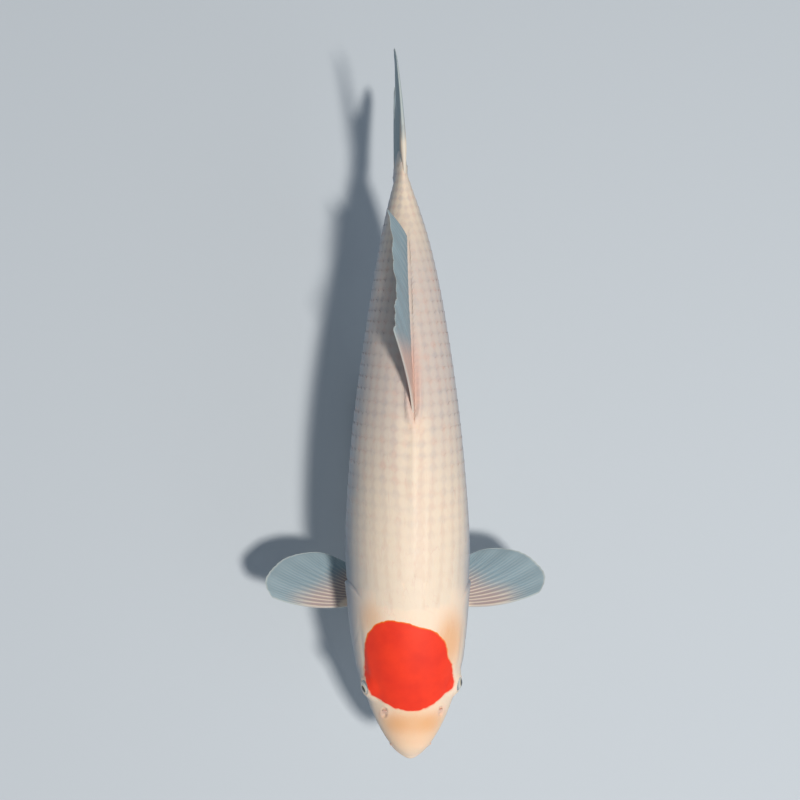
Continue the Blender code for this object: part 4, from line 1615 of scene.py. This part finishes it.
        # Fine veins run lengthwise just under the skin, 6 to 8 mm apart.
        drawn = add("VectorMath", {0: form, 1: (0.16, 0.022, 0.16)}, operation="MULTIPLY")
        veins = add("TexNoise", {"Vector": drawn, "Scale": 1.0, "Detail": 4.0, "Distortion": 0.6}, "Fac")
        veins = add("Math", {0: veins, 1: 0.5}, operation="SUBTRACT")
        veins = add("Math", {0: veins}, operation="ABSOLUTE")
        veins = add("MapRange", {0: veins, 1: 0.022, 2: 0.0, 3: 0.0, 4: 0.3})
        patchy = add("TexNoise", {"Vector": form, "Scale": 0.05, "Detail": 2.0}, "Fac")
        patchy = add("MapRange", {0: patchy, 1: 0.42, 2: 0.62, 3: 0.15, 4: 1.0})
        veins = add("Math", {0: veins, 1: patchy}, operation="MULTIPLY")
        colour = add("Mix", {0: veins, 6: colour, 7: linear(self.blush)}, 2, **COLOURS)
        for centre, size, code, strength in self.patches():
            near = self.patch(paint, form, centre, size)
            near = add("Math", {0: near, 1: strength}, operation="MULTIPLY")
            colour = add("Mix", {0: near, 6: colour, 7: linear(code)}, 2, **COLOURS)
        edge = self.mark_edge(paint, out, along, form)
        on_top = add("MapRange", {0: height, 1: -14.0, 2: -8.0})
        # A thin orange rim shows where the red thins out, most of all at the rear.
        rear = add("MapRange", {0: along, 1: 60.0, 2: 95.0, 3: 0.25, 4: 1.0})
        rim = add("MapRange", {0: edge, 1: 0.75, 2: 0.1}, **SMOOTH)
        for limit in (rear, on_top):
            rim = add("Math", {0: rim, 1: limit}, operation="MULTIPLY")
        colour = add("Mix", {0: rim, 6: colour, 7: linear(self.rim)}, 2, **COLOURS)
        uneven = add("TexNoise", {"Vector": form, "Scale": 0.06, "Detail": 3.0}, "Fac")
        uneven = add("MapRange", {0: uneven, 1: 0.35, 2: 0.7})
        red = add("Mix", {0: uneven, 6: linear(self.red), 7: linear(self.deep_red)}, 2, **COLOURS)
        inside = add("MapRange", {0: edge, 1: 0.1, 2: -0.75}, **SMOOTH)
        inside = add("Math", {0: inside, 1: on_top}, operation="MULTIPLY")
        return add("Mix", {0: inside, 6: colour, 7: red}, 2, **COLOURS)

    def patches(self) -> tuple:
        """The tinted places of the head and of the dorsal fin's root: centre, size, colour and strength.

        Returns:
            A row of those four for each place.
        """
        sides = SIDES.values()
        cheeks = (((side * 15.0, 27.0, 12.0), (15.0, 14.0, 20.0), self.yellow, 0.36) for side in sides)
        nostrils = (((side * 21.5, 35.0, 12.0), (5.5, 5.5, 14.0), self.blush, 0.5) for side in sides)
        return (
            ((0.0, 18.0, 8.0), (44.0, 42.0, 60.0), self.nose, 0.8),
            *cheeks,
            ((0.0, 27.0, 14.0), (30.0, 13.0, 22.0), self.yellow, 0.42),
            ((0.0, 0.0, -14.0), (34.0, 26.0, 34.0), self.cream, 0.6),
            ((27.0, 88.0, 34.0), (19.0, 34.0, 30.0), self.yellow, 0.62),
            ((-30.0, 106.0, 34.0), (14.0, 20.0, 26.0), self.yellow, 0.36),
            *nostrils,
            ((0.0, 3.0, -17.0), (30.0, 22.0, 6.5), self.blush, 0.35),
            ((0.0, 282.0, 66.0), (10.0, 60.0, 26.0), self.flesh, 0.75),
        )


class SkinFinish(Enum):
    """Which of the two coats of the body a skin material is for."""

    BARE = "bare"
    SCALED = "scaled"


@dataclass(frozen=True)
class LivingSkin:
    """Fish skin: wet, slightly clear mucus over a soft, pigmented layer, so it is satin rather than glossy.

    On the scales the pocket of each one shows as a soft, pinkish grey net.
    """

    markings: KoiMarkings
    roughness: float = 0.46
    bare_middle: float = 0.24

    def make(self, finish: SkinFinish) -> bpy.types.Material:
        """Makes the material for the bare skin or for the scales.

        Args:
            finish: Which of the two coats it is for.

        Returns:
            The material.
        """
        paint = Paint(f"koi {finish.value} skin, satin, under clear mucus")
        add = paint.add
        form = add("Attribute", out="Vector", attribute_name="form")
        colour = self.markings.colour(paint, form)
        fine = add("TexNoise", {"Vector": form, "Scale": 1.1, "Detail": 4.0}, "Fac")
        if finish is SkinFinish.SCALED:
            plate = add("Attribute", out="Vector", attribute_name="plate")
            place, row, share = (add("SeparateXYZ", {0: plate}, k) for k in range(3))
            # Each scale is pale in the middle of what shows of it, and shaded where it meets its neighbours.
            place = add("Math", {0: place, 1: self.bare_middle}, operation="SUBTRACT")
            turns = [add("Math", {0: way, 1: 2 * math.pi}, operation="MULTIPLY") for way in (place, row)]
            waves = [add("Math", {0: turn}, operation="COSINE") for turn in turns]
            both = add("Math", {0: waves[0], 1: waves[1]}, operation="ADD")
            net = add("MapRange", {0: both, 1: 1.1, 2: -1.5}, **SMOOTH)
            along = add("SeparateXYZ", {0: form}, 1)
            depth = add("MapRange", {0: along, 1: 120.0, 2: 240.0, 3: 0.02, 4: 0.28}, **SMOOTH)
            vary = add("TexNoise", {"Vector": form, "Scale": 0.045, "Detail": 2.0}, "Fac")
            vary = add("MapRange", {0: vary, 1: 0.35, 2: 0.65, 3: 0.6, 4: 1.3})
            depth = add("Math", {0: depth, 1: vary}, operation="MULTIPLY")
            net = add("Math", {0: net, 1: depth}, operation="MULTIPLY")
            height = add("SeparateXYZ", {0: form}, 2)
            above = add("MapRange", {0: height, 1: -42.0, 2: -8.0, 3: 0.2, 4: 1.0})
            net = add("Math", {0: net, 1: above}, operation="MULTIPLY")
            pocket = add("TexNoise", {"Vector": form, "Scale": 0.09, "Detail": 2.0}, "Fac")
            pocket = add("MapRange", {0: pocket, 1: 0.4, 2: 0.62})
            shade, blush = linear(self.markings.shade), linear(self.markings.blush)
            tint = add("Mix", {0: pocket, 6: shade, 7: blush}, 2, **COLOURS)
            colour = add("Mix", {0: net, 6: colour, 7: tint}, 2, **COLOURS)
            # Growth rings, about 0.5 mm apart.
            rings = add("Math", {0: share, 1: 210.0}, operation="MULTIPLY")
            rings = add("Math", {0: rings}, operation="SINE")
            fine = add("Math", {0: rings, 1: 0.12, 2: fine}, operation="MULTIPLY_ADD")
        else:
            soft = add("Attribute", out="Vector", attribute_name="paint")
            amount = add("SeparateXYZ", {0: soft}, 0)
            colour = add("Mix", {0: amount, 6: colour, 7: linear(self.markings.blush)}, 2, **COLOURS)
        normal = add("Bump", {"Height": fine, "Strength": 0.16, "Distance": 0.0004}, "Normal")
        smooth, dull = self.roughness - 0.05, self.roughness + 0.07
        sheen = add("MapRange", {0: fine, 1: 0.3, 2: 0.7, 3: smooth, 4: dull})
        paint.feed(Base_Color=colour, Normal=normal, Roughness=sheen, IOR=1.38, Specular_IOR_Level=0.35)
        paint.feed(Subsurface_Weight=0.12, Subsurface_Scale=0.002, Subsurface_Radius=(1.0, 0.45, 0.3))
        return paint.material


@dataclass(frozen=True)
class FinLook:
    """How the body's colours run out over a fin, as shares of its rays' length.

    The stripes between the inner rays have a strength from 0 to 1. In front of flesh_until, measured
    from the snout, the whole fin is fleshy.
    """

    cream_reach: float
    stripe_reach: float
    stripes: float
    flesh_until: float = 0.0


@dataclass(frozen=True)
class FinSkin:
    """Fin skin: a thin, half-clear grey-blue film over pale horny rays, creamy and pink near the body."""

    cream: str = "#CFC2B4"
    ray: str = "#97A9B0"
    film: str = "#879DA8"
    pink: str = "#AF9590"
    rim: str = "#C6CCC6"
    flesh: str = "#D8B3A3"
    roughness: float = 0.46

    def make(self, name: str, look: FinLook, body: KoiMarkings) -> bpy.types.Material:
        """Makes the material of one fin.

        Args:
            name: What the fin is called.
            look: How the body's colours run out over it.
            body: The body's markings, whose cream the root takes.

        Returns:
            The material.
        """
        paint = Paint(f"koi {name} fin skin, satin, over horny rays")
        add = paint.add
        place = add("Attribute", out="Vector", attribute_name="paint")
        form = add("Attribute", out="Vector", attribute_name="form")
        u, v, ray = (add("SeparateXYZ", {0: place}, k) for k in range(3))
        wander = add("TexNoise", {"Vector": form, "Scale": 0.05, "Detail": 3.0}, "Fac")
        far = add("Math", {0: wander, 1: 0.16, 2: v}, operation="MULTIPLY_ADD")
        outer = add("Mix", {0: ray, 6: linear(self.film), 7: linear(self.ray)}, 2, **COLOURS)
        between_rays = add("Mix", {0: look.stripes, 6: linear(self.film), 7: linear(self.pink)}, 2, **COLOURS)
        bare = add("MapRange", {0: ray, 1: 0.15, 2: 0.6}, **SMOOTH)
        inner = add("Mix", {0: bare, 6: between_rays, 7: linear(self.cream)}, 2, **COLOURS)
        # The leading rays stay creamy far further out than the rest.
        lead = add("MapRange", {0: u, 1: 0.45, 2: 0.0, 3: 0.0, 4: 0.28}, **SMOOTH)
        reach = add("Math", {0: far, 1: lead}, operation="SUBTRACT")
        start, end = look.stripe_reach * 0.55, look.stripe_reach * 1.25
        out_there = add("MapRange", {0: reach, 1: start, 2: end}, **SMOOTH)
        colour = add("Mix", {0: out_there, 6: inner, 7: outer}, 2, **COLOURS)
        root = add("MapRange", {0: reach, 1: look.cream_reach, 2: look.cream_reach * 0.3}, **SMOOTH)
        colour = add("Mix", {0: root, 6: colour, 7: linear(body.cream)}, 2, **COLOURS)
        if look.flesh_until:
            along = add("SeparateXYZ", {0: form}, 1)
            along = add("Math", {0: wander, 1: 14.0, 2: along}, operation="MULTIPLY_ADD")
            start, end = look.flesh_until - 12.0, look.flesh_until + 12.0
            fleshy = add("MapRange", {0: along, 1: end, 2: start}, **SMOOTH)
            streaks = add("MapRange", {0: ray, 3: 0.7, 4: 1.0})
            fleshy = add("Math", {0: fleshy, 1: streaks}, operation="MULTIPLY")
            colour = add("Mix", {0: fleshy, 6: colour, 7: linear(self.flesh)}, 2, **COLOURS)
        margin = add("MapRange", {0: v, 1: 0.975, 2: 0.997}, **SMOOTH)
        front = add("MapRange", {0: u, 1: 0.03, 2: 0.0}, **SMOOTH)
        margin = add("Math", {0: margin, 1: front}, operation="MAXIMUM")
        margin = add("Math", {0: margin, 1: 0.55}, operation="MULTIPLY")
        colour = add("Mix", {0: margin, 6: colour, 7: linear(self.rim)}, 2, **COLOURS)
        # Each horny ray is jointed about every millimetre.
        joints = add("Math", {0: v, 1: 380.0}, operation="MULTIPLY")
        joints = add("Math", {0: joints}, operation="SINE")
        joints = add("Math", {0: joints, 1: ray}, operation="MULTIPLY")
        fine = add("TexNoise", {"Vector": form, "Scale": 1.2, "Detail": 3.0}, "Fac")
        fine = add("Math", {0: joints, 1: 0.12, 2: fine}, operation="MULTIPLY_ADD")
        normal = add("Bump", {"Height": fine, "Strength": 0.12, "Distance": 0.0003}, "Normal")
        paint.feed(Base_Color=colour, Normal=normal, Roughness=self.roughness)
        paint.feed(IOR=1.38, Specular_IOR_Level=0.3)
        paint.feed(Subsurface_Weight=0.1, Subsurface_Scale=0.001, Subsurface_Radius=(1.0, 0.6, 0.5))
        return paint.material


@dataclass(frozen=True)
class WetEye:
    """A living eye: black pupil, thin pale ring and silvery, finely spoked iris under a clear, wet cornea."""

    pupil_radius: float
    iris_radius: float
    black: str = "#050607"
    ring: str = "#D9C79A"
    silver: str = "#BCC3C2"
    slate: str = "#8A9496"
    # white: painted highlight over the upper part of the iris.
    white: str = "#D5D6CF"
    edge: str = "#6F7B80"

    def make(self) -> bpy.types.Material:
        """Makes the material.

        Returns:
            The material.
        """
        paint = Paint("koi eye, wet clear cornea over silvery iris")
        add = paint.add
        look = add("Attribute", out="Vector", attribute_name="look")
        x, y = (add("SeparateXYZ", {0: look}, k) for k in range(2))
        flat = add("CombineXYZ", {0: x, 1: y})
        far = add("VectorMath", {0: flat}, 1, operation="LENGTH")
        turn = add("Math", {0: y, 1: x}, operation="ARCTAN2")
        ways = [add("Math", {0: turn}, operation=kind) for kind in ("COSINE", "SINE")]
        spokes = add("CombineXYZ", {0: ways[0], 1: ways[1]})
        spokes = add("TexNoise", {"Vector": spokes, "Scale": 9.0, "Detail": 5.0}, "Fac")
        spokes = add("MapRange", {0: spokes, 1: 0.35, 2: 0.65})
        iris = add("Mix", {0: spokes, 6: linear(self.slate), 7: linear(self.silver)}, 2, **COLOURS)
        # The upper part of the iris pales towards white: a painted highlight.
        upper = add("MapRange", {0: y, 1: -3.0, 2: 4.0, 3: 0.0, 4: 0.55}, **SMOOTH)
        iris = add("Mix", {0: upper, 6: iris, 7: linear(self.white)}, 2, **COLOURS)
        ring = add("MapRange", {0: far, 1: self.pupil_radius + 0.75, 2: self.pupil_radius + 0.1}, **SMOOTH)
        colour = add("Mix", {0: ring, 6: iris, 7: linear(self.ring)}, 2, **COLOURS)
        pupil = add("MapRange", {0: far, 1: self.pupil_radius + 0.12, 2: self.pupil_radius - 0.12})
        colour = add("Mix", {0: pupil, 6: colour, 7: linear(self.black)}, 2, **COLOURS)
        limbus = add("MapRange", {0: far, 1: self.iris_radius - 0.75, 2: self.iris_radius - 0.1}, **SMOOTH)
        limbus = add("Math", {0: limbus, 1: 0.75}, operation="MULTIPLY")
        colour = add("Mix", {0: limbus, 6: colour, 7: linear(self.edge)}, 2, **COLOURS)
        paint.feed(Base_Color=colour, Roughness=0.22, IOR=1.38, Coat_Weight=1.0, Coat_Roughness=0.03)
        return paint.material


@dataclass(frozen=True)
class SatinPaint:
    """Sprayed satin paint on metal: even, with a faint orange-peel ripple about 1.5 mm across."""

    colour: str = "#C9C8C2"
    worn: str = "#B5B4AE"

    def make(self) -> bpy.types.Material:
        """Makes the material.

        Returns:
            The material.
        """
        paint = Paint("satin warm grey paint, sprayed on steel")
        add = paint.add
        place = add("TexCoord", out="Object")
        peel = add("TexNoise", {"Vector": place, "Scale": 650.0, "Detail": 2.0}, "Fac")
        cloud = add("TexNoise", {"Vector": place, "Scale": 18.0, "Detail": 4.0}, "Fac")
        cloud = add("MapRange", {0: cloud, 1: 0.35, 2: 0.75})
        colour = add("Mix", {0: cloud, 6: linear(self.colour), 7: linear(self.worn)}, 2, **COLOURS)
        normal = add("Bump", {"Height": peel, "Strength": 0.12, "Distance": 0.0003}, "Normal")
        rough = add("MapRange", {0: cloud, 3: 0.42, 4: 0.52})
        paint.feed(Base_Color=colour, Roughness=rough, Normal=normal, IOR=1.5)
        paint.feed(Coat_Weight=0.25, Coat_Roughness=0.3)
        return paint.material


@dataclass(frozen=True)
class TurnedSteel:
    """Stainless steel turned on a lathe: rings round the rod, about 0.3 mm apart, that stretch its glints."""

    colour: str = "#C4C6C8"
    groove: str = "#B2B4B7"

    def make(self) -> bpy.types.Material:
        """Makes the material.

        Returns:
            The material.
        """
        paint = Paint("turned stainless steel")
        add = paint.add
        place = add("TexCoord", out="Object")
        rings = add("Mapping", {"Vector": place, "Scale": (40.0, 40.0, 3300.0)})
        rings = add("TexNoise", {"Vector": rings, "Scale": 1.0, "Detail": 3.0}, "Fac")
        rough = add("MapRange", {0: rings, 1: 0.3, 2: 0.7, 3: 0.2, 4: 0.34})
        shade = add("MapRange", {0: rings, 1: 0.3, 2: 0.7})
        colour = add("Mix", {0: shade, 6: linear(self.colour), 7: linear(self.groove)}, 2, **COLOURS)
        normal = add("Bump", {"Height": rings, "Strength": 0.15, "Distance": 0.0001}, "Normal")
        paint.feed(Base_Color=colour, Metallic=1.0, Roughness=rough, Normal=normal)
        return paint.material


# Putting it together.


def dress(piece: bpy.types.Object, material: bpy.types.Material, nodes: tuple[str, ...]) -> None:
    """Gives a piece its material slot and body, and hides the nodes of the part that it stands for.

    Args:
        piece: The piece.
        material: What it is made of.
        nodes: The nodes of the part that it stands for.
    """
    piece.data.materials.clear()
    piece.data.materials.append(material)
    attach(piece, BODY)
    if nodes:
        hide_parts(*nodes)
    piece.data.calc_loop_triangles()
    LOG.info("%s: %d triangles", piece.name, len(piece.data.loop_triangles))


@dataclass
class KoiCarp:
    """The whole fish."""

    flesh_nodes: tuple = (
        "head", "lower_jaw", "gill_cover_left", "gill_cover_right", "trunk_front", "trunk_rear", "tail_stalk",
        "upper_lip", "lower_lip", "barbel_front_left", "barbel_front_right", "barbel_rear_left",
        "barbel_rear_right",
    )

    def build(self) -> None:
        """Makes and dresses every piece of the fish."""
        shape = BodyShape()
        skin = Skin(shape)
        markings = KoiMarkings()
        living = LivingSkin(markings)
        dress(skin.build(), living.make(SkinFinish.BARE), self.flesh_nodes)
        coat, scaled = ScaleCoat(skin), living.make(SkinFinish.SCALED)
        for word in SIDES:
            dress(coat.build(word), scaled, ())
        fin_skin = FinSkin()
        looks = {
            "dorsal": FinLook(0.16, 0.3, 0.2, 312.0), "anal": FinLook(0.25, 0.4, 0.4, 352.0),
            "pectoral": FinLook(0.12, 0.55, 0.8), "pelvic": FinLook(0.25, 0.55, 0.6),
            "tail": FinLook(0.2, 0.3, 0.2),
        }
        paints = {kind: fin_skin.make(kind, look, markings) for kind, look in looks.items()}
        for piece, nodes in FinSet(shape).build():
            dress(piece, paints[piece.name.split("_")[1]], nodes)
        eye = Eye(skin)
        wet = WetEye(eye.pupil, eye.iris).make()
        for word in SIDES:
            dress(eye.build(word), wet, (f"eye_{word}",))


@dataclass
class Stand:
    """The plain stand: the solids' own shapes in paint and steel."""

    def dress(self) -> None:
        """Gives the base and both rods their finishes."""
        finishes = {"stand_base": SatinPaint().make()}
        steel = TurnedSteel().make()
        finishes.update({"stand_rod_front": steel, "stand_rod_rear": steel})
        for name, material in finishes.items():
            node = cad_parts[name]
            for place in node.material_slots:
                place.link = "OBJECT"
                place.material = material
            LOG.info("%s: kept from the frame", name)


@dataclass(frozen=True)
class Lamp:
    """A square soft light: its place and width in metres, its power in watts and its colour."""

    name: str
    place: tuple
    width: float
    power: float
    colour: str


@dataclass
class Studio:
    """A plain pale floor, soft light from the fish's left, and the camera almost straight over the fish."""

    target: tuple = (-0.0026, 0.0, 0.125)
    roll_degrees: float = 5.0
    pitch_degrees: float = 9.0
    distance: float = 1.25
    field_degrees: float = 28.34
    shifts: tuple = (-0.0075, 0.002)
    floor_colour: str = "#C3CCD4"
    floor_width: float = 16.0
    air_colour: str = "#C9D6E4"
    air_strength: float = 0.33
    lamps: tuple = (
        Lamp("key_light", (0.68, -0.95, 3.45), 0.34, 107.0, "#FFF7EE"),
        Lamp("fill_light", (0.9, -0.9, 1.0), 0.9, 2.0, "#E8EEF5"),
    )

    def build(self) -> None:
        """Makes the floor, the lights, the air and the camera."""
        self.build_floor()
        for lamp in self.lamps:
            self.build_light(lamp)
        self.build_air()
        self.build_camera()

    def build_air(self) -> None:
        """The even, dim light from all round."""
        world = bpy.data.worlds.new("studio_air")
        world.use_nodes = True
        background = world.node_tree.nodes["Background"]
        background.inputs["Color"].default_value = linear(self.air_colour)
        background.inputs["Strength"].default_value = self.air_strength
        scene = bpy.context.scene
        scene.world = world
        scene.view_settings.view_transform = "Standard"

    def build_camera(self) -> None:
        """The camera, tilted those degrees from straight above the fish."""
        scene = bpy.context.scene
        data = bpy.data.cameras.new("camera")
        data.sensor_fit = "HORIZONTAL"
        data.angle = math.radians(self.field_degrees)
        data.shift_x, data.shift_y = self.shifts
        camera = bpy.data.objects.new("camera", data)
        scene.collection.objects.link(camera)
        away = Vector(
            (-math.tan(math.radians(self.roll_degrees)), -math.tan(math.radians(self.pitch_degrees)), 1)
        )
        away.normalize()
        right = Vector((0, 1, 0)).cross(away).normalized()
        up = away.cross(right)
        spot = Vector(self.target) + away * self.distance
        turn = Matrix((right, up, away)).transposed()
        camera.matrix_world = Matrix.Translation(spot) @ turn.to_4x4()
        scene.camera = camera

    def build_floor(self) -> None:
        """A wide floor of pale matt paper."""
        bpy.ops.mesh.primitive_plane_add(size=self.floor_width, location=(0, 0, 0))
        floor = bpy.context.object
        floor.name = "floor"
        paint = Paint("pale matt studio paper")
        place = paint.add("TexCoord", out="Object")
        grain = paint.add("TexNoise", {"Vector": place, "Scale": 900.0}, "Fac")
        normal = paint.add("Bump", {"Height": grain, "Strength": 0.03, "Distance": 0.0002}, "Normal")
        paint.feed(Base_Color=linear(self.floor_colour), Roughness=0.85, Normal=normal)
        floor.data.materials.append(paint.material)

    def build_light(self, lamp: Lamp) -> None:
        """Makes one of the lights and turns it to face the fish.

        Args:
            lamp: The light to make.
        """
        data = bpy.data.lights.new(lamp.name, "AREA")
        data.size, data.energy, data.color = lamp.width, lamp.power, linear(lamp.colour)[:3]
        light = bpy.data.objects.new(lamp.name, data)
        bpy.context.scene.collection.objects.link(light)
        light.location = lamp.place
        light.rotation_euler = (Vector(lamp.place) - Vector(self.target)).to_track_quat("Z", "Y").to_euler()


def main() -> None:
    """Builds the fish, its stand and the studio."""
    logging.basicConfig(level=logging.INFO, format="%(message)s")
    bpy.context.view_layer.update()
    KoiCarp().build()
    Stand().dress()
    Studio().build()


if __name__ == "__main__":
    main()
